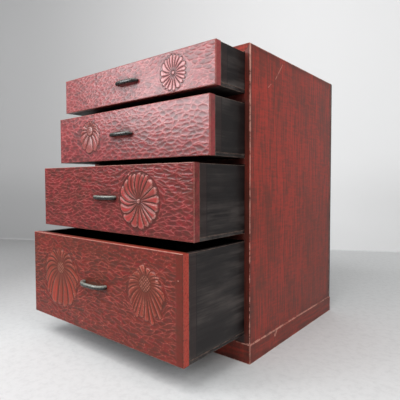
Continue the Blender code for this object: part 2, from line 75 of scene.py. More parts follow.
def srgb(red: int, green: int, blue: int) -> Colour:
    """Turn a screen colour into a linear one.

    Args:
        red: Red from 0 to 255.
        green: Green from 0 to 255.
        blue: Blue from 0 to 255.

    Returns:
        Linear red, green and blue, with full alpha.
    """
    shares = np.array((red, green, blue)) / 255.0
    linear = np.where(shares <= 0.04045, shares / 12.92, ((shares + 0.055) / 1.055) ** 2.4)
    return (*(float(value) for value in linear), 1.0)


def smooth(value: Array, low: float | Array, high: float | Array) -> Array:
    """Smooth step of an array, 3t^2 - 2t^3 from 0 at low to 1 at high, where low may be the larger."""
    share = np.clip((value - low) / (high - low), 0.0, 1.0)
    return share * share * (3.0 - 2.0 * share)


class Axis(Enum):
    """Direction in which a board's grain and brush marks run."""

    X = 0
    Y = 1
    Z = 2


class Hub(Enum):
    """Middle of a carved flower."""

    BUTTON = "a small round button"
    SEEDS = "a dome cut crosswise into seeds"
    CURLED = "a dome of young petals that are still curled in"


class Field:
    """A socket of a shader graph. Arithmetic on it adds Math nodes to that graph."""

    def __init__(self, graph: "Graph", socket: bpy.types.NodeSocket) -> None:
        """Wrap an output socket of a graph."""
        self.graph = graph
        self.socket = socket

    def _math(self, operation: str, *values: "Field | float") -> "Field":
        """Add a Math node on these values."""
        return self.graph.node("ShaderNodeMath", {"operation": operation}, dict(enumerate(values)))

    def __add__(self, other: "Field | float") -> "Field":
        """Sum."""
        return self._math("ADD", self, other)

    def __sub__(self, other: "Field | float") -> "Field":
        """Difference."""
        return self._math("SUBTRACT", self, other)

    def __rsub__(self, other: float) -> "Field":
        """Difference from a number."""
        return self._math("SUBTRACT", other, self)

    def __mul__(self, other: "Field | float") -> "Field":
        """Product."""
        return self._math("MULTIPLY", self, other)

    def __truediv__(self, other: "Field | float") -> "Field":
        """Quotient."""
        return self._math("DIVIDE", self, other)

    def __rtruediv__(self, other: float) -> "Field":
        """Quotient of a number."""
        return self._math("DIVIDE", other, self)

    def __abs__(self) -> "Field":
        """Absolute value."""
        return self._math("ABSOLUTE", self)

    __radd__ = __add__
    __rmul__ = __mul__

    def root(self) -> "Field":
        """Square root."""
        return self._math("SQRT", self)

    def least(self, other: "Field | float") -> "Field":
        """Smaller of two values."""
        return self._math("MINIMUM", self, other)

    def most(self, other: "Field | float") -> "Field":
        """Larger of two values."""
        return self._math("MAXIMUM", self, other)

    def step(self, low: float, high: float) -> "Field":
        """Smooth step from 0 at low to 1 at high, or downwards where low is the larger."""
        ends = {1: low, 2: high, 3: 0.0, 4: 1.0} if low < high else {1: high, 2: low, 3: 1.0, 4: 0.0}
        return self.graph.node("ShaderNodeMapRange", {"interpolation_type": "SMOOTHSTEP"}, {0: self, **ends})


class Graph:
    """Node graph of one piece's material, which ends in a Principled shader."""

    def __init__(self, name: str, low: Vector = ORIGIN, high: Vector = ORIGIN) -> None:
        """Start the graph of a new material.

        Args:
            name: Name of the material.
            low: Lowest corner of the piece's box, where its finish needs it.
            high: Highest corner of that box.
        """
        self.material = bpy.data.materials.new(name)
        self.material.use_nodes = True
        self.tree = self.material.node_tree
        self.shader = self.tree.nodes["Principled BSDF"]
        self.low = low
        self.high = high
        self.place = self.node("ShaderNodeTexCoord", {}, {}, "Object")
        split = self.node("ShaderNodeSeparateXYZ", {}, {0: self.place})
        self.parts = tuple(Field(self, part) for part in split.socket.node.outputs)

    def feed(self, target: bpy.types.Node, sockets: dict) -> None:
        """Give sockets of a node their values or links.

        Args:
            target: The node.
            sockets: Input sockets by index or name, each with a value or a field to link.
        """
        for key, value in sockets.items():
            if isinstance(value, Field):
                self.tree.links.new(value.socket, target.inputs[key])
            else:
                target.inputs[key].default_value = value

    def node(self, kind: str, settings: dict, sockets: dict, output: int | str = 0) -> Field:
        """Add a node.

        Args:
            kind: Type of the node.
            settings: Properties to set first.
            sockets: Input sockets by index or name, each with a value or a field to link.
            output: Output to return, by index or name.

        Returns:
            The node's output as a field.
        """
        made = self.tree.nodes.new(kind)
        for key, value in settings.items():
            setattr(made, key, value)
        self.feed(made, sockets)
        return Field(self, made.outputs[output])

    def noise(
        self, cells: float | Place, detail: float = 3.0, rough: float = 0.55, shift: float = 0.0
    ) -> Field:
        """Noise on the object's coordinates.

        Args:
            cells: Cells per metre, alike all ways or for each axis.
            detail: Octaves of finer noise.
            rough: Strength of each octave next to the one before.
            shift: Shift that gives another part of the pattern.

        Returns:
            The noise, from 0 to 1.
        """
        scale = cells if isinstance(cells, tuple) else (cells, cells, cells)
        place = self.node("ShaderNodeMapping", {}, {0: self.place, 1: (shift, shift, shift), 3: scale})
        sockets = {"Vector": place, "Scale": 1.0, "Detail": detail, "Roughness": rough}
        return self.node("ShaderNodeTexNoise", {}, sockets)

    def grain(self, axis: Axis, across: float, along: float, detail: float = 3.0) -> Field:
        """Noise drawn out along the grain.

        Args:
            axis: Direction of the grain.
            across: Cells per metre across it.
            along: Cells per metre along it.
            detail: Octaves of finer noise.

        Returns:
            The noise, from 0 to 1.
        """
        cells = [across] * len(Axis)
        cells[axis.value] = along
        return self.noise(tuple(cells), detail)

    def attribute(self, name: str) -> Field:
        """Number stored on the mesh under a name."""
        return self.node("ShaderNodeAttribute", {"attribute_name": name}, {}, "Fac")

    def blend(self, share: Field, first: Field | Colour, second: Field | Colour) -> Field:
        """Colour that goes from the first to the second as the share goes from 0 to 1."""
        return self.node("ShaderNodeMix", {"data_type": "RGBA"}, {0: share, 6: first, 7: second}, 2)

    @cached_property
    def arris(self) -> Field:
        """Distance over the surface of a box-shaped board to its nearest edge.

        On a face one of the three distances to the box's planes is nothing, so the distance to the nearest
        edge is the middle one: their sum without the least and the greatest.

        Returns:
            The distance in metres.
        """
        middle = (self.low + self.high) / 2
        half = (self.high - self.low) / 2
        x, y, z = (half[k] - abs(part - middle[k]) for k, part in enumerate(self.parts))
        return x + y + z - x.least(y).least(z) - x.most(y).most(z)

    def rubbed(self, width: Field) -> Field:
        """Share that is rubbed off along a board's edges, in a strip of an uneven width in millimetres."""
        return (self.arris / (width * MM)).step(1.0, 0.4)

    def line(self, start: Place, end: Place) -> Field:
        """Distance from a straight mark.

        The nearest point's share of the mark is the dot product over the square of the mark's length, kept
        between 0 and 1.

        Args:
            start: One end of the mark.
            end: Its other end.

        Returns:
            The distance in metres.
        """
        run = [b - a for a, b in zip(start, end)]
        off = [part - a for part, a in zip(self.parts, start)]
        share = (off[0] * run[0] + off[1] * run[1] + off[2] * run[2]) / sum(step * step for step in run)
        share = share.most(0.0).least(1.0)
        dx, dy, dz = (part - share * step for part, step in zip(off, run))
        return (dx * dx + dy * dy + dz * dz).root()

    def bump(self, height: Field, depth: float, strength: float) -> None:
        """Raise the shader's normal by a field whose full range is a depth in millimetres."""
        sockets = {"Strength": strength, "Distance": depth * MM, "Height": height}
        self.feed(self.shader, {"Normal": self.node("ShaderNodeBump", {}, sockets)})

    def finish(self, colour: Field, roughness: Field, others: dict) -> None:
        """Feed the shader its colour, its roughness and other inputs by name."""
        self.feed(self.shader, {"Base Color": colour, "Roughness": roughness, **others})


class Finish:
    """What all finishes share: each paints a material of its own for every piece."""

    def paint(self, graph: Graph) -> None:
        """Fill the graph of one piece."""
        raise NotImplementedError

    def put_on(self, piece: bpy.types.Object, name: str, node: str) -> None:
        """Paint a material and give it to a piece.

        Args:
            piece: The piece.
            name: Name of the material.
            node: Node of the frame whose box the finish follows.
        """
        graph = Graph(name, *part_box(node))
        self.paint(graph)
        piece.data.materials.clear()
        piece.data.materials.append(graph.material)


@dataclass(frozen=True)
class Scratch:
    """A straight mark through the lacquer, in metres."""

    start: Place
    end: Place
    width: float


@dataclass(frozen=True)
class RedLacquer(Finish):
    """Red-brown lacquer brushed along the board, rubbed through to a pale ground along its edges."""

    axis: Axis
    wear: float = 1.0
    scratches: tuple[Scratch, ...] = ()
    gloss: float = 0.3
    rough: float = 0.36
    soil: float = 14 * MM
    rear_soil: float = 7 * MM
    inner_strip: float = 2 * MM
    red: Colour = srgb(176, 54, 41)
    brown: Colour = srgb(112, 46, 35)
    olive: Colour = srgb(92, 48, 35)
    deep: Colour = srgb(62, 30, 24)
    worn: Colour = srgb(206, 148, 132)

    def paint(self, graph: Graph) -> None:
        """Paint a board: brushed bands, more olive towards its foot and back, soiled edges and worn arrises.

        An upright board keeps its lacquer on the inner part of its front edge, is painted dark on its front
        edge as painted shade, and is dark on its rear edge.

        Args:
            graph: Graph of the board.
        """
        x, y, z = graph.parts
        band = graph.grain(self.axis, 190.0, 14.0)
        brush = graph.grain(self.axis, 330.0, 24.0)
        weave = graph.grain(Axis.Y if self.axis is Axis.Z else Axis.Z, 380.0, 50.0)
        mottle = graph.noise(150.0, 4.0, 0.7)
        cloud = graph.noise((24.0, 18.0, 11.0))
        tone = band * 0.30 + brush * 0.35 + weave * 0.21 + mottle * 0.14
        colour = graph.blend(tone.step(0.41, 0.59), self.brown, self.red)
        olive_share = cloud.step(0.44, 0.66) * 0.7 + y.step(0.05, 0.25) * 0.25 + z.step(0.30, 0.0) * 0.6 + 0.12
        colour = graph.blend(olive_share.least(1.0) * (0.75 - tone * 0.5), colour, self.olive)
        specks = graph.noise((500.0, 500.0, 420.0), 2.0).step(0.58, 0.72)
        colour = graph.blend(specks * 0.45, colour, self.deep)
        soiled = graph.arris.step(self.soil, 0.0) * cloud.step(0.35, 0.60)
        colour = graph.blend(soiled * 0.6, colour, self.deep)
        ragged = graph.noise(120.0, 6.0, 0.75)
        bare = graph.rubbed((ragged.step(0.36, 0.72) * 1.9 + 0.2) * self.wear)
        for scratch in self.scratches:
            near = graph.line(scratch.start, scratch.end) / (ragged * (2.0 * scratch.width))
            bare = bare.most(near.step(1.0, 0.5) * ragged.step(0.34, 0.52))
        if self.axis is Axis.Z:
            inner = min(abs(graph.low.x), abs(graph.high.x)) + self.inner_strip
            bare = bare * abs(x).step(inner, inner + 2 * MM)
            front, rear = graph.low.y, graph.high.y
            # painted shade: the front edge face of an upright board, which the drawers shade, is painted dark
            dark = y.step(front + MM, front + 0.3 * MM) * 0.55
            dark = dark.most(y.step(rear - self.rear_soil, rear - MM) * 0.7)
            colour = graph.blend(dark, colour, self.deep)
        colour = graph.blend(bare * 0.8, colour, self.worn)
        graph.bump(band * 0.3 + brush * 0.4 + weave * 0.3, 0.15, 0.6)
        graph.finish(colour, tone * 0.2 + bare * 0.2 + self.rough, {"Specular IOR Level": self.gloss})


@dataclass(frozen=True)
class DarkLacquer(Finish):
    """Thin dark brown lacquer on a plain board, with the grain showing through."""

    axis: Axis
    brown: Colour = srgb(58, 34, 30)
    deep: Colour = srgb(34, 22, 21)
    worn: Colour = srgb(120, 86, 70)

    def paint(self, graph: Graph) -> None:
        """Paint a board: broad and fine grain, and worn arrises.

        Args:
            graph: Graph of the board.
        """
        broad = graph.grain(self.axis, 40.0, 2.5, 4.0)
        fine = graph.grain(self.axis, 500.0, 12.0, 4.0)
        colour = graph.blend((broad * 0.5 + fine * 0.5).step(0.35, 0.65), self.deep, self.brown)
        bare = graph.rubbed(graph.noise(80.0, 5.0, 0.7).step(0.45, 0.75) * 1.6 + 0.2)
        colour = graph.blend(bare * 0.7, colour, self.worn)
        graph.bump(fine, 0.1, 0.6)
        graph.finish(colour, fine * 0.2 + 0.42, {"Specular IOR Level": 0.4})


@dataclass(frozen=True)
class BlackLacquer(Finish):
    """Black lacquer on a drawer's boards, rubbed grey where they slide, with a browner end up to a joint."""

    axis: Axis
    joint: float = 0.0
    black: Colour = srgb(22, 18, 18)
    grey: Colour = srgb(84, 77, 74)
    brown: Colour = srgb(58, 42, 40)
    wood: Colour = srgb(142, 118, 106)

    def paint(self, graph: Graph) -> None:
        """Paint a board: grey rubbing in patches, the line of its joint, and worn arrises.

        Args:
            graph: Graph of the board.
        """
        broad = graph.grain(self.axis, 60.0, 9.0, 4.0)
        fine = graph.grain(self.axis, 420.0, 16.0)
        patch = graph.noise((20.0, 11.0, 18.0)).step(0.36, 0.64)
        marks = (broad * 0.75 + fine * 0.25).step(0.40, 0.68) * (patch * 0.8 + 0.2)
        colour = graph.blend(marks * 0.75, self.black, self.grey)
        if self.joint:
            behind = graph.parts[1] - graph.low.y
            colour = graph.blend(behind.step(self.joint, self.joint - MM) * 0.4, colour, self.brown)
            colour = graph.blend(abs(behind - self.joint).step(MM, 0.4 * MM) * 0.8, colour, self.black)
        bare = graph.rubbed(graph.noise(90.0, 5.0, 0.7).step(0.40, 0.75) + 0.4)
        colour = graph.blend(bare * 0.5, colour, self.wood)
        graph.bump(fine, 0.1, 0.6)
        graph.finish(colour, marks * 0.2 + 0.40, {"Specular IOR Level": 0.25})


@dataclass(frozen=True)
class BareWood(Finish):
    """Planed wood without a finish, with its growth rings as bands along the grain."""

    axis: Axis
    soil: float = 6 * MM
    light: Colour = srgb(176, 136, 96)
    dark: Colour = srgb(128, 90, 58)

    def paint(self, graph: Graph) -> None:
        """Paint a board: growth rings, pores and soiled edges.

        Args:
            graph: Graph of the board.
        """
        rings = graph.grain(self.axis, 160.0, 5.0)
        pores = graph.grain(self.axis, 900.0, 30.0, 2.0)
        colour = graph.blend((rings * 0.7 + pores * 0.3).step(0.38, 0.62), self.light, self.dark)
        colour = graph.blend(graph.arris.step(self.soil, 0.0) * 0.5, colour, self.dark)
        graph.bump(pores, 0.1, 0.6)
        graph.finish(colour, rings * 0.15 + 0.6, {"Specular IOR Level": 0.3})


@dataclass(frozen=True)
class ForgedIron(Finish):
    """Forged iron with a grey-green skin, painted lighter on its upper side and black below as painted light
    from above and painted shade.
    """

    painted_lit_skin: Colour = srgb(128, 131, 124)
    dark: Colour = srgb(24, 23, 22)
    brown: Colour = srgb(58, 44, 36)

    def paint(self, graph: Graph) -> None:
        """Paint a piece: its skin painted light above and black below as painted light and painted shade, and
        rusty pits.

        Args:
            graph: Graph of the piece.
        """
        blots = graph.noise(260.0, 4.0, 0.65)
        pits = graph.noise(900.0, 2.0)
        foot, top = graph.low.z, graph.high.z
        # painted light and shade: the piece is lighter above its middle height and black below it
        over = (graph.parts[2] - (foot + top) / 2) / (top - foot) + blots * 0.3
        colour = graph.blend(over.step(0.08, 0.42), self.dark, self.painted_lit_skin)
        colour = graph.blend(pits.step(0.60, 0.75) * 0.6, colour, self.brown)
        graph.bump(blots * 0.8 + pits * 0.2, 0.2, 0.35)
        graph.finish(colour, blots * 0.15 + 0.20, {"Metallic": 0.1, "Specular IOR Level": 0.5})


@dataclass(frozen=True)
class CarvedLacquer(Finish):
    """Red over dark lacquer on a carved front: dark in the hollows, and paler on the ridges, partly rubbed
    and partly painted highlight.

    It reads numbers that the carving stores on the mesh: height, ridge, groove, petal, core and edge. ends
    and ends_red are the core and the petal that the front's four thin sides have, and end_wear is how far its
    two upright arrises are rubbed.
    """

    hollow: Colour
    red: Colour
    ridge: Colour
    petal: Colour
    flank: Colour
    groove: Colour
    crown: Colour
    worn: Colour = srgb(206, 156, 140)
    crimson: Colour = srgb(140, 34, 41)
    olive: Colour = srgb(80, 45, 33)
    gloss: float = 0.5
    ends: float = 0.9
    ends_red: float = 0.0
    end_wear: float = 0.35

    def paint(self, graph: Graph) -> None:
        """Paint a front: mottled ground with broken pale ridges, petals, dark cuts and pale arrises, with
        painted highlights and painted shade among them.

        Args:
            graph: Graph of the front.
        """
        marks = ("height", "ridge", "groove", "petal", "core", "edge")
        height, ridge, groove, petal, core, edge = (graph.attribute(name) for name in marks)
        cloud = graph.noise((22.0, 22.0, 30.0))
        spots = graph.noise((85.0, 85.0, 130.0), 4.0, 0.6, 3.7)
        patch = graph.noise((14.0, 14.0, 24.0), shift=3.7)
        brush = graph.grain(Axis.X, 420.0, 70.0)
        dust = graph.noise(420.0, 3.0, 0.65)
        tone = height * 0.35 + core * 0.25 + brush * 0.3 + cloud * 0.3
        colour = graph.blend(tone.step(0.35, 0.85), self.hollow, self.red)
        colour = graph.blend(spots.step(0.50, 0.66) * 0.55, colour, self.crimson)
        colour = graph.blend(spots.step(0.46, 0.32) * 0.6, colour, self.olive)
        colour = graph.blend(patch.step(0.48, 0.72) * 0.4, colour, self.olive)
        broken = (spots * 0.5 + brush * 0.5).step(0.42, 0.60)
        # painted highlight: the pale ridge colour stands partly for rubbed ridges, partly for light caught on
        # them
        colour = graph.blend(ridge * (broken * 0.55 + 0.2), colour, self.ridge)
        # painted shade and highlight: petals are paler in the core, darker on the flanks, and crown-pale
        # where the carving marks painted highlights
        streak = core * (brush * 0.5 + dust * 0.5).step(0.30, 0.55)
        bloom = graph.blend(streak, self.flank, self.petal)
        bloom = graph.blend(ridge * dust.step(0.35, 0.60) * 0.8, bloom, self.crown)
        colour = graph.blend(petal, colour, bloom)
        # painted shade: the groove mark holds the dark cuts, and also the painted shade behind the pull and
        # in the moats
        colour = graph.blend(groove * 0.9, colour, self.groove)
        # painted highlight: rubbed arrises are painted pale, partly wear and partly the highlight along the
        # arris
        rubbed = edge * (dust.step(0.36, 0.62) * 0.5 + 0.40)
        chips = graph.noise(150.0, 2.0, shift=9.1).step(0.76, 0.80)
        colour = graph.blend(rubbed.most(chips * 0.7), colour, self.worn)
        graph.bump(brush * 0.6 + dust * 0.4, 0.08, 0.5)
        coat = (1.0 - groove * 0.9) * (0.7 + cloud * 0.6) * self.gloss
        shine = {"Coat Weight": coat, "Coat Roughness": 0.26, "Specular IOR Level": 0.1}
        graph.finish(colour, brush * 0.12 + dust * 0.1 + 0.35, shine)


@dataclass
class Relief:
    """Numbers over a carved face: height proud of its plane in millimetres, and marks from 0 to 1."""

    height: Array
    ridge: Array
    groove: Array
    petal: Array
    core: Array

    def cover(self, share: Array, other: "Relief") -> "Relief":
        """Go over to another relief where the share is 1."""
        pairs = zip(vars(self).values(), vars(other).values())
        return Relief(*(first + share * (second - first) for first, second in pairs))


@dataclass
class Petals:
    """Places of a front as a flower's petals have them, in millimetres and shares.

    reach and angle lead to a place from the hub, and rim is how far the rim is that way. share goes from 0
    at the hub to 1 at the rim, and across from -1 to 1 over the petal, which is twice half wide. inside and
    from_tip are the distances in from its outline and its tip. The others are chances of the petal, from 0
    to 1.
    """

    reach: Array
    angle: Array
    rim: Array
    share: Array
    across: Array
    half: Array
    inside: Array
    from_tip: Array
    shorter: Array
    higher: Array
    leaning: Array


@dataclass(frozen=True)
class Flower:
    """A carved chrysanthemum, in millimetres from the middle of its front.

    Its petals lie on rays that leave the hub at about equal angles and end on a round rim. The hub may lie
    over the rim's middle, as in a flower that is seen from below.
    """

    x: float
    z: float
    radius: float
    petals: int
    hub: Hub
    hub_radius: float
    hub_lift: float = 0.0
    sweep: float = 0.0
    sweep_at: float = 0.0
    gap: float = 0.55
    gap_dark: float = 1.0
    crown: float = 2.2
    outline: float = 1.3
    outline_dark: float = 1.0
    ragged: float = 1.6
    roundness: float = 0.8
    petal_rise: float = 1.05
    groove_depth: float = 0.6
    moat_width: float = 2.2
    moat_depth: float = 1.0
    # a dark ring just inside the rim: partly a cut line, partly painted shade in the moat
    rim_ring_and_painted_shade: float = 0.0
    turned_up: float = 0.0
    # painted highlights: pale tips and a pale flank on each petal
    tip_painted_highlight: float = 0.5
    flank_painted_highlight: float = 0.3
    seed_pitch: float = 4.6
    unevenness: float = 0.22
    wobble: float = 0.10
    waves: int = 3
    droop: float = 0.0
    crowd: float = 0.0
    pinch: float = 0.0
    root_dark: float = 0.0
    collar: float = 0.0

    def outside(self, x: Array, z: Array) -> Array:
        """Distance beyond the rim, less than nothing inside it."""
        return np.hypot(x - self.x, z - self.z) - self.radius

    def lay_out(self, x: Array, z: Array) -> Petals:
        """Find the petals at all places of the front.

        The rim lies where a ray from the hub meets the circle: -b + sqrt(b^2 + R^2 - l^2), with l the hub's
        lift and b its part along the ray. A petal lies between two rays, which bend sideways with the square
        of their length, and ends in a round tip. Half its width is its half angle over the turning of those
        rays there.

        Args:
            x: Places along the front.
            z: Places up the front.

        Returns:
            The places among the petals.
        """
        dx, dz = x - self.x, z - self.z - self.hub_lift
        reach, angle = np.hypot(dx, dz), np.arctan2(dz, dx)
        along = self.hub_lift * np.sin(angle)
        rim = -along + np.sqrt(along ** 2 + self.radius ** 2 - self.hub_lift ** 2)
        share = np.clip((reach - self.hub_radius) / (rim - self.hub_radius), 0.0, 1.0)
        lean = angle - self.sweep_at
        fold = 0.5 + 0.5 * np.cos(lean)
        wave = self.waves * angle + self.x
        bent = self.sweep * fold ** 2 + self.wobble * np.sin(wave) + self.droop * np.cos(angle)
        bending = self.waves * self.wobble * np.cos(wave) - self.sweep * fold * np.sin(lean)
        bending = bending - self.droop * np.sin(angle)
        across, number = self.petal_across(angle + bent * share ** 2 - self.crowd * np.cos(angle))
        rng = np.random.default_rng(int(abs(self.x) * 10) + self.petals)
        shorter, higher, leaning, wider = rng.uniform(0.0, 1.0, (4, self.petals))[:, number]
        tip = rim - self.moat_width - self.ragged * shorter
        turning = 1 + bending * share ** 2 + self.crowd * np.sin(angle)
        turning = turning / np.maximum(np.minimum(reach, tip), 0.1)
        half = math.pi / self.petals / np.hypot(turning, 2 * bent * share / (rim - self.hub_radius))
        bulge = self.roundness * math.pi / self.petals * tip
        from_tip = tip - bulge * (1 - np.sqrt(1 - 0.97 * across ** 2)) - reach
        inset = self.gap * (0.5 + 0.5 * share) * (0.6 + 0.8 * wider) + self.pinch * half * (1 - share) ** 2
        inset = np.minimum(inset, 0.7 * half)
        inside = np.minimum((1 - np.abs(across)) * half - inset, from_tip)
        return Petals(reach, angle, rim, share, across, half, inside, from_tip, shorter, higher, leaning)

    def petal_across(self, angle: Array) -> tuple[Array, Array]:
        """Find the petals of uneven width at some angles.

        Args:
            angle: Angles about the hub.

        Returns:
            The place across the petal, from -1 to 1, and the petal's number.
        """
        rng = np.random.default_rng(self.petals + int(self.radius))
        edges = np.arange(self.petals + 1) + self.unevenness * rng.uniform(-1.0, 1.0, self.petals + 1)
        edges[-1] = edges[0] + self.petals
        phase = np.mod(angle * self.petals / (2 * math.pi) - edges[0], self.petals) + edges[0]
        number = np.clip(np.searchsorted(edges, phase, side="right") - 1, 0, self.petals - 1)
        width = edges[number + 1] - edges[number]
        return 2 * (phase - edges[number]) / width - 1, number

    def carve(self, x: Array, z: Array) -> tuple[Array, Relief]:
        """Carve the flower into its front.

        A petal's height is a quarter round from its outline to its crown, and a moat runs between the tips
        and the rim. A flower without a moat lies in the ground with ragged tips.

        Args:
            x: Places along the front.
            z: Places up the front.

        Returns:
            How far the flower takes the ground's place, from 0 to 1, and its relief.
        """
        at = self.lay_out(x, z)
        crown = np.minimum(self.crown, 0.8 * at.half)
        pillow = np.sqrt(1 - (1 - np.clip(at.inside / crown, 0.0, 1.0)) ** 2)
        rise = 0.45 + 0.55 * smooth(at.share, 0.0, 0.6)
        tilt = 1 - 0.3 * at.higher + 0.3 * (at.leaning - 0.5) * at.across
        body = -self.groove_depth + (self.petal_rise * tilt + self.groove_depth) * pillow * rise
        moat = -self.moat_depth * smooth(at.rim - at.reach, 0.0, 1.2)
        height = np.where(at.from_tip > 0, np.maximum(body, moat), moat)
        on_petal = smooth(at.inside, -0.4, 0.2)
        turned, pale = self.wear(at)
        veins = 0.65 + 0.35 * np.cos(9.0 * at.across + 6.0 * at.leaning)
        core = smooth(at.inside, 0.2, 0.75 * crown) * smooth(at.share, 0.12, 0.5) * (1 - 0.5 * at.shorter)
        height = height + 0.4 * turned * on_petal
        # the pale marks from wear() are painted highlights, stored as the petals' ridge mark
        relief = Relief(height, pale * on_petal, self.shade(at), on_petal, core * veins)
        in_hub = smooth(self.hub_radius - at.reach, -0.3, 0.3)
        relief = relief.cover(in_hub, self.carve_hub(at.reach, at.angle))
        if self.moat_depth:
            return smooth(at.rim - at.reach, 0.0, 0.35), relief
        return np.maximum(smooth(at.from_tip, -1.5, -0.5), in_hub), relief

    def shade(self, at: Petals) -> Array:
        """Darken the cuts between the petals, past their tips and round the hub, and the moat along the rim,
        partly as painted shade.

        Args:
            at: The places among the petals.

        Returns:
            How dark they are, from 0 to 1.
        """
        root = np.maximum(smooth(at.share, 0.0, 0.3), self.root_dark)
        soft = np.minimum(0.35, 0.3 * at.half)
        between = self.gap_dark * smooth(at.inside, soft, -soft) * smooth(at.from_tip, -0.4, 0.4) * root
        past_tip = smooth(at.from_tip, 0.4, -0.3) * smooth(at.from_tip, -self.outline - 0.9, -self.outline)
        # painted shade: a dark ring in the moat just inside the rim
        ring = self.rim_ring_and_painted_shade * np.exp(-((at.rim - at.reach - 0.6) / 0.7) ** 2)
        dark = np.maximum(np.maximum(between, self.outline_dark * past_tip), ring)
        if self.collar:
            round_hub = smooth(at.reach - self.hub_radius - self.collar, 0.8, -0.4)
            dark = np.maximum(dark, 0.7 * self.gap_dark * round_hub)
        return dark

    def wear(self, at: Petals) -> tuple[Array, Array]:
        """Turn up the rims of some upper petals, and paint those rims, the tips and one flank of each petal
        pale as painted highlights.

        Args:
            at: The places among the petals.

        Returns:
            How far the petals turn up and how pale they are painted as highlights, from 0 to 1.
        """
        upper = smooth(np.sin(at.angle), -0.15, 0.25) * smooth(at.share, 0.35, 0.6)
        turned = self.turned_up * upper * smooth(at.inside, 1.6, 0.5) * smooth(at.higher, 0.35, 0.55)
        # painted highlights: pale tips, and a pale strip on one flank of each petal
        tip = self.tip_painted_highlight * smooth(at.from_tip, 5.0, 1.0) * (1 - 0.6 * at.leaning)
        one_side = smooth(at.across * np.where(at.leaning > 0.4, 1.0, -1.0), -0.1, 0.3)
        flank = self.flank_painted_highlight * smooth(at.inside, 2.0, 0.5) * smooth(at.inside, -0.2, 0.3) * one_side
        return turned, np.maximum(np.maximum(turned, tip), flank * smooth(at.share, 0.1, 0.4))

    def carve_hub(self, reach: Array, angle: Array) -> Relief:
        """Carve the hub as a dome with a groove round it, plain, hatched or folded into young petals.

        Args:
            reach: Distances from its middle.
            angle: Angles about its middle.

        Returns:
            The relief.
        """
        share = np.clip(reach / self.hub_radius, 0.0, 1.0)
        dome = (self.petal_rise + 0.3) * np.sqrt(1 - share ** 2 * 0.98) - 0.2
        ring = smooth(share, 0.80, 0.97) * (0.3 if self.hub is Hub.SEEDS else 1.0)
        cuts = np.zeros_like(dome)
        # pale over the dome's top: partly rubbed, partly a painted highlight
        worn = 0.8 * smooth(share, 1.0, 0.7)
        if self.hub is Hub.SEEDS:
            slants = (reach * (np.cos(angle) + sign * np.sin(angle)) for sign in (1, -1))
            hatches = (np.abs(np.cos(math.pi * slant / self.seed_pitch)) for slant in slants)
            cuts = smooth(np.maximum(*hatches), 0.72, 0.98)
        if self.hub is Hub.CURLED:
            spiral = share - 0.12 * angle / math.pi
            cuts = 0.6 * np.exp(-((spiral - 0.42) / 0.09) ** 2)
            # painted highlight: a pale crescent on one side of a curled hub
            worn = 0.8 * np.exp(-((spiral - 0.62) / 0.14) ** 2) * smooth(np.cos(angle + 0.3), -0.3, 0.6)
        groove = np.maximum(ring, 0.75 * cuts)
        whole, none = np.ones_like(dome), np.zeros_like(dome)
        return Relief(dome - 0.5 * groove, worn * (1 - groove), groove, whole, none)


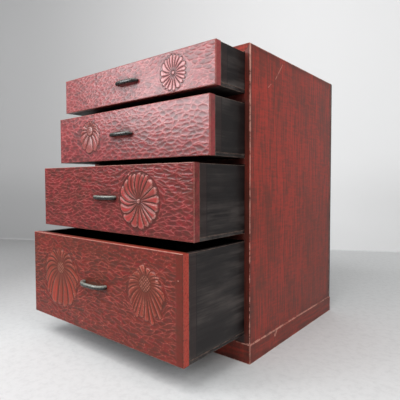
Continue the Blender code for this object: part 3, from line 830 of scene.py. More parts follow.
@dataclass(frozen=True)
class GougedGround:
    """Ground cut all over with a gouge in short, level, overlapping strokes, in millimetres."""

    seed: int
    length: float
    height: float
    depth: float
    ridge_width: float
    lean: float = 0.0
    sway: float = 0.3
    waver: float = 0.8
    halo: float = 8.0
    closing: float = 0.5
    scatter: float = 0.42
    plain_end: float = 0.0
    ceiling: float = 9.0
    repeat: int = 64

    def cut(self, x: Array, z: Array, flowers: tuple[Flower, ...]) -> Relief:
        """Cut the ground.

        Each stroke is a bowl, c (2u / length)^2 + (2v / height)^2 - 1 along and across its own direction, and
        the ground follows the lowest bowl at each place. The bowls stand in a brick pattern with seeded
        unevenness, lie about level, and turn along the rims of the flowers. With c near 1 their outlines
        close to lenses. Ridges lie where the two lowest bowls are equally deep: their difference over its
        slope is the distance to one.

        Args:
            x: Places along the front.
            z: Places up the front.
            flowers: Flowers that the strokes go round.

        Returns:
            The relief, with no petals.
        """
        chances = np.random.default_rng(self.seed).uniform(-1.0, 1.0, (6, self.repeat, self.repeat))
        up, along = z[:, 0], x[0]
        swing = np.sin(z / 4.1 - x / 13.0 + 3 * self.seed) + 0.6 * np.sin(z / 2.3 + x / 8.0 + self.seed)
        waves = np.sin(x / 6.7 + z / 9.0 + self.seed) + 0.7 * np.sin(x / 3.1 - z / 5.0 + 2 * self.seed)
        x = x + self.waver * swing
        z = z + 0.6 * self.waver * waves
        lowest = np.full(x.shape, self.ceiling)
        second = lowest.copy()
        own = np.zeros_like(lowest)
        rise = self.height / 2
        for down, beside in product(range(-3, 4), range(-1, 2)):
            row = np.floor(z / rise) + down
            brick = 0.5 * np.mod(row, 2)
            column = np.floor(x / self.length - brick) + beside
            cell = tuple(np.mod(part, self.repeat).astype(int) for part in (row, column))
            aside, lifted, deeper, longer, turned, shade = (table[cell] for table in chances)
            middle_x = (column + brick + 0.5 + 0.8 * self.scatter * aside) * self.length
            middle_z = (row + 0.5 + self.scatter * lifted) * rise
            lean = self.direction(middle_x, middle_z, flowers) + self.sway * turned
            dx, dz = x - middle_x, z - middle_z
            u = dx * np.cos(lean) + dz * np.sin(lean)
            v = dz * np.cos(lean) - dx * np.sin(lean)
            bowl = self.closing * (2 * u / (self.length * (1 + 0.3 * longer))) ** 2 + (v / rise) ** 2
            bowl = bowl - 1 - 0.25 * deeper
            own = np.where(bowl < lowest, shade, own)
            second = np.minimum(second, np.maximum(bowl, lowest))
            lowest = np.minimum(lowest, bowl)
        over = second - lowest
        away = over / np.maximum(np.hypot(*np.gradient(over, up, along)), 0.05)
        swell = 0.65 * np.clip((lowest + 1.15) / 0.75, 0.0, 1.0)
        swell = swell + 0.35 * smooth(away, 2 * self.ridge_width, 0.0)
        ridge = smooth(away, self.ridge_width, 0.0) * smooth(lowest, -1.0, -0.5)
        plain = np.zeros_like(swell)
        return Relief((swell - 1) * self.depth, ridge, plain, plain, 0.5 + 0.5 * own)

    def direction(self, x: Array, z: Array, flowers: tuple[Flower, ...]) -> Array:
        """Turn the strokes: level with a slow sway, and along the rim close to a flower.

        Directions are averaged as doubled angles, with a weight that dies away over the halo.

        Args:
            x: Places of the strokes along the front.
            z: Places of the strokes up the front.
            flowers: Flowers that the strokes go round.

        Returns:
            The angles of the strokes.
        """
        level = self.lean + 0.10 * np.sin(x / 23.0 + self.seed) + 0.08 * np.sin(x / 9.0 + z / 14.0)
        cosine, sine = np.cos(2 * level), np.sin(2 * level)
        for flower in flowers:
            round_rim = np.arctan2(z - flower.z, x - flower.x) + math.pi / 2
            weight = 1.6 * np.exp(-np.clip(flower.outside(x, z), 0.0, None) / self.halo)
            cosine = cosine + weight * np.cos(2 * round_rim)
            sine = sine + weight * np.sin(2 * round_rim)
        return 0.5 * np.arctan2(sine, cosine)


def grid_quads(rows: int, columns: int) -> Array:
    """Quads of a grid of vertices that are numbered row by row."""
    corner = (np.arange(rows - 1)[:, None] * columns + np.arange(columns - 1)).reshape(-1, 1)
    return corner + np.array((0, 1, columns + 1, columns))


def loop_quads(rings: int, count: int) -> Array:
    """Quads between rings of vertices that close on themselves.

    Args:
        rings: Number of rings, whose vertices are numbered ring by ring.
        count: Number of vertices in each.

    Returns:
        The vertex numbers of each quad.
    """
    here = np.arange(count)
    after = (here + 1) % count
    ring = np.stack((here, after, after + count, here + count), axis=1)
    return (np.arange(rings - 1)[:, None, None] * count + ring).reshape(-1, 4)


def make_object(name: str, vertices: Array, faces: list) -> bpy.types.Object:
    """Turn arrays into a smooth object.

    Args:
        name: Name of the object.
        vertices: Places of its vertices.
        faces: Vertex numbers of each face.

    Returns:
        The object.
    """
    mesh = bpy.data.meshes.new(name)
    mesh.from_pydata(vertices, [], faces)
    mesh.shade_smooth()
    made = bpy.data.objects.new(name, mesh)
    bpy.context.scene.collection.objects.link(made)
    return made


def make_piece(name: str, vertices: Array, faces: list, body: str, node: str) -> bpy.types.Object:
    """Turn arrays into a piece that stands for a node of the frame.

    Args:
        name: Name of the piece.
        vertices: Places of its vertices.
        faces: Vertex numbers of each face.
        body: Body that it rides on.
        node: Node that it stands for.

    Returns:
        The piece.
    """
    piece = make_object(name, vertices, faces)
    piece.data.set_sharp_from_angle(angle=SHARP_ANGLE)
    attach(piece, body)
    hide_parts(node)
    return piece


@dataclass(frozen=True)
class CarvedFront:
    """Front of one drawer, in millimetres: a carved face, rounded edges and a rabbeted back."""

    body: str
    ground: GougedGround
    flowers: tuple[Flower, ...]
    finish: CarvedLacquer
    step_x: float
    step_z: float
    flower_lines: float = 0.45
    line_samples: int = 4000
    edge_round: float = 1.1
    edge_lines: tuple[float, ...] = (0.0, 0.12, 0.3, 0.6, 1.0)
    calm_edge: float = 2.6
    foot_plain: float = 4.5
    foot_calm: float = 9.0
    top_step: float = 0.6
    arris: float = 0.5
    # painted shade behind the bow: its darkness, how far it reaches past the feet, and its height
    shade: float = 0.95
    shade_margin: float = 3.0
    shade_height: float = 6.0
    soil: float = 0.3
    soil_reach: float = 34.0
    soil_height: float = 15.0
    strip_dark: float = 0.35
    strip_blend: float = 1.5

    @property
    def node(self) -> str:
        """Node of the frame that it stands for."""
        return f"{self.body}_front"

    def lines(self, length: float, step: float, spans: list[tuple[float, float]]) -> Array:
        """Space the grid's lines along one side of the face.

        The lines stand closer together across the flowers and at both ends: equal steps of the running sum of
        a density are turned back into places.

        Args:
            length: Length of the side.
            step: Distance of the lines away from the flowers.
            spans: Stretches across flowers.

        Returns:
            Places from minus to plus half the length.
        """
        ends = self.edge_round * np.array(self.edge_lines)
        half = length / 2
        fine = np.linspace(-half + ends[-1], half - ends[-1], self.line_samples)
        density = np.full(fine.shape, 1 / step)
        for low, high in spans:
            density = density + self.flower_lines / step * ((fine > low) & (fine < high))
        total = np.concatenate(((0.0,), np.cumsum((density[1:] + density[:-1]) / 2 * np.diff(fine))))
        inner = np.interp(np.linspace(0.0, total[-1], int(total[-1]) + 2), total, fine)
        return np.concatenate((-half + ends[:-1], inner, half - ends[-2::-1]))

    def relief(self, x: Array, z: Array, from_edge: Array, pull: "BowPull") -> Relief:
        """Carve the whole face.

        The ground is calm at the edges and the pull's feet, soiled round the pull, and painted dark behind it
        as painted shade of the bow, and the flowers lie in it. A front may end in a plain strip on its right.

        Args:
            x: Places along the front.
            z: Places up the front.
            from_edge: Distances from the face's edges.
            pull: Pull of the same drawer.

        Returns:
            The relief.
        """
        ground = self.ground.cut(x, z, self.flowers)
        over = z - pull.lift
        feet = np.minimum(np.hypot(x - pull.foot, over), np.hypot(x + pull.foot, over))
        calm = smooth(from_edge, 0.0, self.calm_edge) * smooth(feet, self.foot_plain, self.foot_calm)
        # painted shade: the front is painted dark close behind the bow, where the bow's own shade falls
        behind = np.exp(-((x / (pull.foot + self.shade_margin)) ** 6) - (over / self.shade_height) ** 2)
        soiled = np.exp(-((x / self.soil_reach) ** 2) - (over / self.soil_height) ** 2)
        dark = np.maximum(self.shade * behind, self.soil * soiled)
        end = self.ground.plain_end
        if end:
            strip = smooth(x.max() - x, end + self.strip_blend, end - self.strip_blend)
            calm = calm * (1 - strip)
            dark = np.maximum(dark, self.strip_dark * strip)
        relief = Relief(ground.height * calm, ground.ridge * calm, dark, np.zeros_like(calm), ground.core)
        for flower in self.flowers:
            relief = relief.cover(*flower.carve(x, z))
        return relief

    def carry_back(self, edge: Array) -> Array:
        """Carry the face's outline back in five rings: shoulder, collar, lip, tongue and back.

        It runs straight back to the lip, in to the tongue that goes between the drawer's boards, and back
        again.

        Args:
            edge: Places of the outline.

        Returns:
            Places of the rings, one after the other.
        """
        low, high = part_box(self.node)
        side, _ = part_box(f"{self.body}_side_right")
        _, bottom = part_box(f"{self.body}_bottom")
        middle = (low.x + high.x) / 2
        foot, top = bottom.z + FIT_GAP, high.z - self.top_step * MM
        lip = edge * (1, 0, 1) + (0, side.y - FIT_GAP, 0)
        tongue = lip.copy()
        tongue[:, 0] = middle + (lip[:, 0] - middle) * (side.x - FIT_GAP - middle) / (high.x - middle)
        tongue[:, 2] = foot + (lip[:, 2] - low.z) * (top - foot) / (high.z - low.z)
        back = tongue * (1, 0, 1) + (0, high.y, 0)
        shoulder = edge + (0, self.arris * MM, 0)
        collar = edge + (0, 2 * self.arris * MM, 0)
        return np.concatenate((shoulder, collar, lip, tongue, back))

    def build(self, pull: "BowPull") -> bpy.types.Object:
        """Make the front from its face, the rings behind the face's outline and a flat cap.

        The face is y = plane - height over a grid, with its edges rounded off in a quarter circle.

        Args:
            pull: Pull of the same drawer, whose feet stand on the face.

        Returns:
            The piece.
        """
        low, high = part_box(self.node)
        middle = (low + high) / 2
        width, tall = (high.x - low.x) / MM, (high.z - low.z) / MM
        spans_x = [(flower.x - flower.radius, flower.x + flower.radius) for flower in self.flowers]
        spans_z = [(flower.z - flower.radius, flower.z + flower.radius) for flower in self.flowers]
        x, z = np.meshgrid(self.lines(width, self.step_x, spans_x), self.lines(tall, self.step_z, spans_z))
        to_end, to_side = width / 2 - np.abs(x), tall / 2 - np.abs(z)
        from_edge = np.minimum(to_end, to_side)
        relief = self.relief(x, z, from_edge, pull)
        inward = np.clip(from_edge / self.edge_round, 0.0, 1.0)
        height = relief.height - self.edge_round * (1 - np.sqrt(1 - (1 - inward) ** 2))
        plane = high.y - FRONT_THICKNESS
        face = np.stack((middle.x + x * MM, plane - height * MM, middle.z + z * MM), axis=-1).reshape(-1, 3)
        numbers = np.arange(x.size).reshape(x.shape)
        outline = np.concatenate((numbers[0, :-1], numbers[:-1, -1], numbers[-1, :0:-1], numbers[:0:-1, 0]))
        count = len(outline)
        first_ring = x.size + np.arange(count)
        joint = np.stack((outline, first_ring), axis=1)
        joint = np.concatenate((joint, np.roll(joint, -1, axis=0)[:, ::-1]), axis=1)
        skirt = loop_quads(FRONT_RINGS, count)[:, ::-1] + x.size
        cap = (first_ring + (FRONT_RINGS - 1) * count)[::-1]
        faces = np.concatenate((grid_quads(*x.shape), joint, skirt)).tolist() + [cap.tolist()]
        places = np.concatenate((face, self.carry_back(face[outline])))
        piece = make_piece(
            f"{self.body}_carved_front", places, faces, self.body, self.node
        )
        rubbed = smooth(self.edge_round * 0.7 - from_edge, 0.0, self.edge_round * 0.6)
        rubbed = rubbed * np.where(to_side > to_end, self.finish.end_wear, 1.0)
        self.store(piece, relief, rubbed, face[outline])
        self.finish.put_on(piece, f"{self.body}_carved_lacquer", self.node)
        return piece

    def store(self, piece: bpy.types.Object, relief: Relief, rubbed: Array, edge: Array) -> None:
        """Store the numbers that the finish reads, on the face and on the rings behind it.

        Args:
            piece: The front.
            relief: Relief of its face.
            rubbed: How far the face is rubbed along its edges.
            edge: Places of the face's outline.
        """
        low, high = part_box(self.node)
        near = 0.5 * MM
        at_end = np.minimum(edge[:, 0] - low.x, high.x - edge[:, 0]) < near
        at_side = np.minimum(np.abs(edge[:, 2] - low.z), np.abs(edge[:, 2] - high.z)) < near
        none, every = np.zeros(len(edge)), np.ones(FRONT_RINGS * len(edge))
        worn = np.where(at_end, self.finish.end_wear, 1.0)
        on_ground = 1 + relief.height / self.ground.depth
        height = np.where(relief.petal > 0.5, smooth(relief.height, 0.0, 1.2), on_ground)
        marks = {
            "height": (np.clip(height, 0.15, 1.0), 0.8 * every),
            "ridge": (relief.ridge, 0.15 * every),
            # the top and bottom faces of the lip, tongue and back are painted as dark as the painted shade
            # behind the bow
            "groove": (relief.groove, np.concatenate((none, none, *(3 * [self.shade * at_side])))),
            "petal": (relief.petal, self.finish.ends_red * every),
            "core": (relief.core, self.finish.ends * every),
            "edge": (rubbed, np.concatenate((worn, *((FRONT_RINGS - 1) * [none])))),
        }
        for name, (on_face, behind) in marks.items():
            values = np.concatenate((on_face.ravel(), behind)).astype(np.float32)
            piece.data.attributes.new(name, "FLOAT", "POINT").data.foreach_set("value", values)


@dataclass(frozen=True)
class BowPull:
    """Forged iron bow on two feet, in millimetres, with tangs riveted over behind the front."""

    body: str
    foot_depth: float
    foot_height: float
    finish: ForgedIron
    bar_depth: float = 2.4
    bar_height: float = 3.1
    foot_turn: float = math.radians(40)
    tang: float = 1.6
    head: float = 2.7
    head_length: float = 1.2
    head_round: float = 0.7
    dent: float = 0.05
    power: float = 2.6
    section_power: float = 2.5
    steps: int = 72
    sides: int = 28

    @property
    def node(self) -> str:
        """Node of the frame that it stands for."""
        return f"{self.body}_pull"

    @property
    def foot(self) -> float:
        """Distance of each foot from the middle."""
        low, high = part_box(self.node)
        return (high.x - low.x) / 2 / MM - self.foot_depth

    @property
    def lift(self) -> float:
        """Height of the pull over the middle of its front."""
        (low, high), (front_low, front_high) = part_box(self.node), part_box(f"{self.body}_front")
        return (low.z + high.z - front_low.z - front_high.z) / 2 / MM

    @staticmethod
    def oval(angle: Array, power: float) -> tuple[Array, Array]:
        """Superellipse of a power p: cos^(2/p) and sin^(2/p) of the angle, with their signs."""
        pair = (np.cos(angle), np.sin(angle))
        return tuple(np.sign(part) * np.abs(part) ** (2 / power) for part in pair)

    def build(self) -> bpy.types.Object:
        """Make the pull as an oval section carried along its bow and its two tangs.

        The bow is half a superellipse from foot to foot. The section is a superellipse too, thickest at the
        feet, slim along the bar and dented a little by the hammer, and round on the tangs and their heads.

        Returns:
            The piece.
        """
        low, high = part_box(self.node)
        middle = (low + high) / 2
        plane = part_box(f"{self.body}_front")[1].y - FRONT_THICKNESS
        gap = FIT_GAP / MM
        rise = (plane - low.y) / MM - self.bar_depth - gap
        deep = (high.y - plane) / MM
        angle = np.linspace(0.0, math.pi, self.steps + 1)
        bow_x, bow_y = self.oval(angle, self.power)
        bow_x, bow_y = self.foot * bow_x, -gap - rise * np.clip(bow_y, 0.0, None)
        slim = np.clip(np.sin(angle) / math.sin(self.foot_turn), 0.0, 1.0)
        dents = 1 - self.dent * (0.5 + 0.5 * np.sin(7.3 * angle + 0.9) * np.sin(17.0 * angle))
        bow_depth = (self.foot_depth + (self.bar_depth - self.foot_depth) * slim) * dents
        bow_height = (self.foot_height + (self.bar_height - self.foot_height) * slim) * dents
        neck = deep - self.head_length
        tang_y = np.array((deep, (deep + neck) / 2, neck, neck, 0.0))
        tang_radius = np.array((self.head_round * self.head, self.head, self.head, self.tang, self.tang))
        side, still = np.full(tang_y.shape, self.foot), np.zeros(tang_y.shape)
        path_x = np.concatenate((side, bow_x, -side))
        path_y = np.concatenate((tang_y, bow_y, tang_y[::-1]))
        depth = np.concatenate((tang_radius, bow_depth, tang_radius[::-1]))
        height = np.concatenate((tang_radius, bow_height, tang_radius[::-1]))
        run_x = np.concatenate((still, np.gradient(bow_x), still))
        run_y = np.concatenate((still - 1.0, np.gradient(bow_y), still + 1.0))
        run_x[[len(side), -len(side) - 1]] = 0.0
        out_x, out_y = np.stack((-run_y, run_x)) / np.hypot(run_x, run_y) * depth
        turn = np.linspace(0.0, 2 * math.pi, self.sides, endpoint=False)
        out, over = self.oval(turn, self.section_power)
        place_x = path_x[:, None] + out_x[:, None] * out
        place_y = path_y[:, None] + out_y[:, None] * out
        place_z = height[:, None] * over
        places = np.stack((middle.x + place_x * MM, plane + place_y * MM, middle.z + place_z * MM), axis=-1)
        rings = len(path_x)
        first = np.arange(self.sides)
        caps = [first[::-1].tolist(), (first + (rings - 1) * self.sides).tolist()]
        faces = loop_quads(rings, self.sides).tolist() + caps
        piece = make_piece(
            f"{self.body}_forged_pull", places.reshape(-1, 3), faces, self.body, self.node
        )
        self.finish.put_on(piece, f"{self.body}_forged_iron", self.node)
        return piece


def dress(node: str, finish: Finish) -> None:
    """Give a node of the frame its finish and soft arrises.

    Args:
        node: Name of the node.
        finish: Finish to make for it.
    """
    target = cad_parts[node]
    target.modifiers.new("weld", "WELD").merge_threshold = WELD_REACH
    soft = target.modifiers.new("arris", "BEVEL")
    soft.width = ARRIS
    soft.segments = ARRIS_SEGMENTS
    soft.limit_method = "ANGLE"
    finish.put_on(target, f"{node}_finish", node)
    LOG.info("dressed %s in %s", node, type(finish).__name__)


@dataclass(frozen=True)
class Drawer:
    """One drawer: its carved front and pull, and the boards of its box."""

    body: str
    front: CarvedFront
    pull: BowPull
    joint: float = 14 * MM

    def build(self) -> list[bpy.types.Object]:
        """Make the carved front and the pull."""
        return [self.front.build(self.pull), self.pull.build()]

    def dress(self) -> None:
        """Finish the boards and roves that the frame holds."""
        for side in SIDES:
            dress(f"{self.body}_side_{side}", BlackLacquer(Axis.Y, self.joint))
            dress(f"{self.body}_rove_{side}", ForgedIron())
        for board in ("back", "bottom"):
            dress(f"{self.body}_{board}", BlackLacquer(Axis.X))


@dataclass(frozen=True)
class Case:
    """Boards of the case and its plinth."""

    rails: int = 3
    side_marks: tuple[Scratch, ...] = (
        Scratch((0.178, 0.066, 0.414), (0.178, 0.088, 0.440), 0.9 * MM),
        Scratch((0.178, 0.044, 0.398), (0.178, 0.052, 0.404), 0.8 * MM),
        Scratch((0.1775, -0.0055, 0.330), (0.1775, -0.0055, 0.449), 1.5 * MM),
        Scratch((0.1775, -0.0055, 0.180), (0.1775, -0.0055, 0.330), 0.9 * MM),
    )
    plinth_marks: tuple[Scratch, ...] = (
        Scratch((0.179, 0.067, 0.020), (0.179, 0.071, 0.025), 3.2 * MM),
        Scratch((0.179, -0.007, 0.0275), (0.179, 0.110, 0.0275), 1.9 * MM),
        Scratch((0.179, 0.110, 0.0275), (0.179, 0.230, 0.0275), 1.1 * MM),
        Scratch((0.179, -0.0065, 0.001), (0.179, -0.0065, 0.0275), 1.3 * MM),
    )
    # painted shade: darker copies of the red lacquer for the rails, which lie back between the drawers
    rail_red_shaded: Colour = srgb(104, 36, 30)
    rail_brown_shaded: Colour = srgb(74, 32, 27)

    def dress(self) -> None:
        """Finish every board of the case."""
        dress("side_right", RedLacquer(Axis.Z, scratches=self.side_marks))
        dress("side_left", RedLacquer(Axis.Z))
        dress("top_board", RedLacquer(Axis.X, gloss=0.25, rough=0.55))
        dress("back_board", DarkLacquer(Axis.Z))
        dress("bottom_board", DarkLacquer(Axis.X))
        dress("plinth_right", RedLacquer(Axis.Y, scratches=self.plinth_marks))
        dress("plinth_left", RedLacquer(Axis.Y))
        for end in ("front", "back"):
            dress(f"plinth_{end}", RedLacquer(Axis.X))
            for side in SIDES:
                dress(f"plinth_block_{end}_{side}", BareWood(Axis.Z))
        for number in range(1, self.rails + 1):
            dress(f"rail_{number}", RedLacquer(Axis.X, wear=0.5, red=self.rail_red_shaded, brown=self.rail_brown_shaded))
            for side in SIDES:
                dress(f"runner_{number}_{side}", BareWood(Axis.Y))


@dataclass(frozen=True)
class SoftBox:
    """A rectangular lamp, in metres and watts, aimed at a point."""

    name: str
    place: Place
    aim: Place
    width: float
    height: float
    power: float
    tint: Place = (1.0, 1.0, 1.0)

    def build(self) -> None:
        """Hang the lamp, out of the camera's sight."""
        lamp = bpy.data.lights.new(self.name, "AREA")
        lamp.shape = "RECTANGLE"
        lamp.size = self.width
        lamp.size_y = self.height
        lamp.energy = self.power
        lamp.color = self.tint
        holder = bpy.data.objects.new(self.name, lamp)
        bpy.context.scene.collection.objects.link(holder)
        holder.location = self.place
        holder.rotation_euler = (Vector(self.aim) - Vector(self.place)).to_track_quat("-Z", "Y").to_euler()
        holder.visible_camera = False


@dataclass(frozen=True)
class Studio:
    """Pale floor that sweeps up into a wall, soft light and the camera, in metres and degrees."""

    camera_place: Place = (0.4666, -0.4710, 0.2597)
    camera_yaw: float = 39.218
    camera_pitch: float = -2.355
    camera_roll: float = 0.127
    lens: float = 35.0955
    sensor: float = 36.0
    shift_x: float = 0.00125
    shift_y: float = -0.007
    clip_start: float = 0.01
    wall_distance: float = 1.524
    wall_facing: float = 26.84
    cove: float = 0.008
    cove_steps: int = 12
    reach: float = 4.0
    floor_grey: Colour = srgb(217, 218, 218)
    # painted shade: the far floor, the left of the wall and the wall's foot are painted darker
    floor_far_painted_shade: Colour = srgb(172, 172, 172)
    speck: Colour = srgb(120, 120, 120)
    wall_left_painted_shade: Colour = srgb(174, 174, 174)
    wall_right: Colour = srgb(240, 240, 240)
    wall_foot_painted_shadow: Colour = srgb(60, 60, 60)
    sky: Colour = srgb(236, 236, 236)
    sky_strength: float = 0.184
    lamps: tuple[SoftBox, ...] = (
        SoftBox(
            "window_left", (-0.933, -1.311, 0.80), (0.0, -0.07, 0.41), 0.9, 0.47, 14.8, (0.975, 0.99, 1.02)
        ),
        SoftBox("fill_right", (1.6, -0.4, 1.3), (0.0, 0.1, 0.2), 1.2, 1.2, 15.8),
        SoftBox("key", (0.05, -1.02, 1.45), (0.0, -0.13, 0.1), 1.5, 0.8, 22.0),
    )

    def build(self) -> None:
        """Set up the floor, the world, the camera and the lamps."""
        self.build_sweep()
        self.build_world()
        self.build_camera()
        for lamp in self.lamps:
            lamp.build()
        bpy.context.scene.view_settings.view_transform = "Standard"

    def build_sweep(self) -> None:
        """Make the floor and wall as one profile carried along the wall.

        The profile runs level towards the wall, through a quarter circle, and up. Its paper carries painted
        shade: darker on the left of the wall, along the wall's foot and on the far floor to the left.
        """
        turn = np.linspace(0.0, math.pi / 2, self.cove_steps)
        run = np.concatenate(((-2 * self.reach,), -self.cove + self.cove * np.sin(turn), (0.0,)))
        rise = np.concatenate(((0.0,), self.cove - self.cove * np.cos(turn), (self.reach,)))
        facing = math.radians(self.wall_facing)
        forward = np.array((-math.sin(facing), math.cos(facing)))
        foot = np.array(self.camera_place[:2]) + self.wall_distance * forward
        aside = np.array((forward[1], -forward[0]))
        sway = np.array((-self.reach, self.reach))
        flat = foot + run[:, None, None] * forward + sway[:, None] * aside
        tall = np.broadcast_to(rise[:, None, None], flat.shape[:2] + (1,))
        places = np.concatenate((flat, tall), axis=-1).reshape(-1, 3)
        sweep = make_object("sweep", places, grid_quads(len(run), 2)[:, ::-1].tolist())
        graph = Graph("sweep_paper")
        grain = graph.noise(90.0, 5.0, 0.7)
        x, y, z = graph.parts
        along = (x - foot[0]) * aside[0] + (y - foot[1]) * aside[1]
        # painted shade: the wall darkens towards the left
        wall = graph.blend(along.step(-1.15, 0.2), self.wall_left_painted_shade, self.wall_right)
        # painted shadow: a darker band along the wall's foot, stronger to the left
        wall = graph.blend(z.step(0.36, 0.16) * (0.14 - along.step(-0.6, 0.2) * 0.07), wall, self.wall_foot_painted_shadow)
        # painted shade: the floor darkens towards the far left
        floor = graph.blend(along.step(-0.38, -0.80), self.floor_grey, self.floor_far_painted_shade)
        floor = graph.blend(grain.step(0.40, 0.75) * 0.14, floor, self.speck)
        paint = graph.blend(z.step(0.0, self.cove), floor, wall)
        graph.finish(paint, grain * 0.1 + 0.7, {"Specular IOR Level": 0.2})
        sweep.data.materials.append(graph.material)

    def build_world(self) -> None:
        """Light the scene evenly from all sides."""
        world = bpy.data.worlds.new("studio")
        bpy.context.scene.world = world
        world.use_nodes = True
        ground = world.node_tree.nodes["Background"]
        ground.inputs["Color"].default_value = self.sky
        ground.inputs["Strength"].default_value = self.sky_strength

    def build_camera(self) -> None:
        """Stand the camera where the photograph was taken from."""
        lens = bpy.data.cameras.new("camera")
        lens.lens = self.lens
        lens.sensor_width = self.sensor
        lens.shift_x = self.shift_x
        lens.shift_y = self.shift_y
        lens.clip_start = self.clip_start
        camera = bpy.data.objects.new("camera", lens)
        bpy.context.scene.collection.objects.link(camera)
        yaw = Matrix.Rotation(math.radians(self.camera_yaw), 4, "Z")
        pitch = Matrix.Rotation(math.radians(self.camera_pitch), 4, "X")
        roll = Matrix.Rotation(math.radians(self.camera_roll), 4, "Y")
        level = Matrix.Rotation(math.pi / 2, 4, "X")
        camera.matrix_world = Matrix.Translation(self.camera_place) @ yaw @ pitch @ roll @ level
        bpy.context.scene.camera = camera


FLOWER_1 = Flower(
    95.0, -1.6, 26.3, 19, Hub.BUTTON, 2.8, sweep=0.3, sweep_at=2.4, gap=0.65, ragged=2.4, petal_rise=0.5,
    groove_depth=0.5, moat_width=0.9, moat_depth=0.2, outline=0.8, crown=1.5, pinch=0.3, root_dark=1.0,
    roundness=1.6, rim_ring_and_painted_shade=0.2, collar=2.2,
)
FLOWER_2 = Flower(
    -80.6, 0.5, 28.0, 14, Hub.CURLED, 9.0, 11.0, sweep=0.8, sweep_at=0.4, gap=0.5, outline=0.9,
    outline_dark=0.7, moat_width=1.2, moat_depth=0.15, pinch=0.3, root_dark=0.8, flank_painted_highlight=0.45, droop=0.1,
    crowd=0.25, turned_up=1.0, gap_dark=0.75,
)
FLOWER_3 = Flower(
    71.6, -1.2, 41.0, 19, Hub.BUTTON, 3.6, sweep=0.6, sweep_at=2.6, outline=0.5, outline_dark=0.4, gap=0.6,
    crown=3.4, ragged=2.4, petal_rise=1.5, roundness=1.2, unevenness=0.25, moat_width=1.2, moat_depth=0.3,
    rim_ring_and_painted_shade=0.5, pinch=0.3, root_dark=0.6, flank_painted_highlight=0.6, gap_dark=0.75, tip_painted_highlight=0.8, collar=1.6,
)
FLOWER_4_LEFT = Flower(
    -88.0, 0.0, 48.0, 21, Hub.SEEDS, 10.5, 17.0, gap=1.4, gap_dark=0.55, outline_dark=0.4, petal_rise=0.7,
    groove_depth=0.45, moat_width=0.5, moat_depth=0.0, ragged=5.0, roundness=0.9, crown=3.0, tip_painted_highlight=0.4,
    droop=0.5, crowd=0.3, pinch=0.2, unevenness=0.3, root_dark=0.5, flank_painted_highlight=0.45,
)
FLOWER_4_RIGHT = Flower(
    104.8, 9.2, 35.8, 24, Hub.SEEDS, 11.5, 13.5, gap=1.4, gap_dark=0.55, outline_dark=0.3, petal_rise=0.7,
    groove_depth=0.5, moat_width=-3.0, moat_depth=0.0, ragged=9.0, turned_up=1.0, tip_painted_highlight=0.3, waves=5,
    unevenness=0.35, droop=0.25, crowd=-0.3, flank_painted_highlight=0.7, root_dark=0.5, roundness=1.0,
)

# painted light: the upper fronts' palettes are lighter and pinker, as painted light from above and painted
# sheen
LACQUER_1 = CarvedLacquer(
    hollow=srgb(105, 44, 44), red=srgb(143, 54, 54), ridge=srgb(188, 113, 111), petal=srgb(190, 124, 124),
    flank=srgb(170, 104, 104), groove=srgb(60, 33, 33), crown=srgb(208, 168, 165), crimson=srgb(156, 48, 55),
    olive=srgb(93, 49, 49), gloss=0.70,
)
LACQUER_2 = CarvedLacquer(
    hollow=srgb(99, 41, 42), red=srgb(140, 48, 49), ridge=srgb(188, 103, 101), petal=srgb(164, 60, 58),
    flank=srgb(132, 70, 64), groove=srgb(60, 35, 30), crown=srgb(206, 148, 139), crimson=srgb(153, 42, 50),
    olive=srgb(89, 48, 45), gloss=0.82,
)
LACQUER_3 = CarvedLacquer(
    hollow=srgb(88, 35, 32), red=srgb(117, 39, 37), ridge=srgb(194, 108, 103), petal=srgb(184, 55, 56),
    flank=srgb(120, 60, 52), groove=srgb(56, 34, 27), crown=srgb(212, 157, 148), ends=0.2,
)
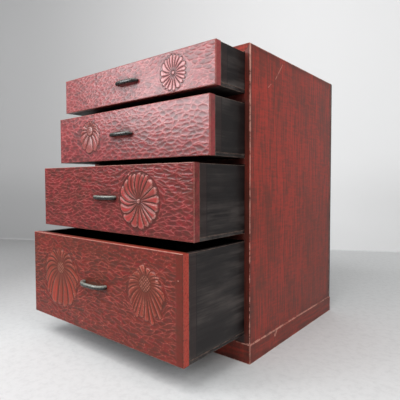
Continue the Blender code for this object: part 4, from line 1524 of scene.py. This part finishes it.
LACQUER_4 = CarvedLacquer(
    hollow=srgb(88, 37, 28), red=srgb(115, 40, 30), ridge=srgb(196, 104, 89), petal=srgb(170, 54, 40),
    flank=srgb(112, 53, 39), groove=srgb(67, 40, 28), crown=srgb(194, 122, 106), crimson=srgb(130, 31, 34),
    olive=srgb(76, 44, 31), gloss=0.3, ends=1.2, ends_red=1.0, end_wear=0.08,
)

GROUND_1 = GougedGround(11, 11.0, 8.6, 0.2, 1.6, lean=0.12, closing=0.36)
GROUND_2 = GougedGround(23, 13.5, 10.4, 0.165, 1.8, closing=0.36)
GROUND_3 = GougedGround(37, 16.0, 7.6, 0.32, 0.95)
GROUND_4 = GougedGround(53, 18.0, 7.6, 0.65, 0.9, plain_end=11.0)

# painted shade: the two upper pulls, which are seen from below, get a darker copy of the iron's skin
SHADED_PULL = (2.4, 1.7, ForgedIron(srgb(94, 95, 91)))
GREY_PULL = (3.0, 3.2, ForgedIron())


def drawer(
    number: int,
    steps: tuple[float, float],
    finish: CarvedLacquer,
    pull: tuple[float, float, ForgedIron],
    ground: GougedGround,
    *flowers: Flower,
) -> Drawer:
    """Put one drawer together.

    Args:
        number: Number of the drawer, counted from the top.
        steps: Distances of its front's grid lines, along it and up it, in millimetres.
        finish: Finish of its front.
        pull: Half depth and half height of its pull at the feet, in millimetres, and its iron.
        ground: Ground of its front.
        flowers: Flowers on its front.

    Returns:
        The drawer.
    """
    body = f"drawer_{number}"
    return Drawer(body, CarvedFront(body, ground, flowers, finish, *steps), BowPull(body, *pull))


DRAWERS = (
    drawer(1, (0.8, 0.45), LACQUER_1, SHADED_PULL, GROUND_1, FLOWER_1),
    drawer(2, (0.85, 0.5), LACQUER_2, SHADED_PULL, GROUND_2, FLOWER_2),
    drawer(3, (1.02, 0.58), LACQUER_3, GREY_PULL, GROUND_3, FLOWER_3),
    drawer(4, (1.40, 0.71), LACQUER_4, GREY_PULL, GROUND_4, FLOWER_4_LEFT, FLOWER_4_RIGHT),
)


def main() -> None:
    """Build and dress the chest, then set up the studio round it."""
    logging.basicConfig(level=logging.INFO, format="%(name)s: %(message)s")
    for one in DRAWERS:
        for piece in one.build():
            LOG.info("built %s with %d faces", piece.name, len(piece.data.polygons))
        one.dress()
    Case().dress()
    Studio().build()


if __name__ == "__main__":
    main()
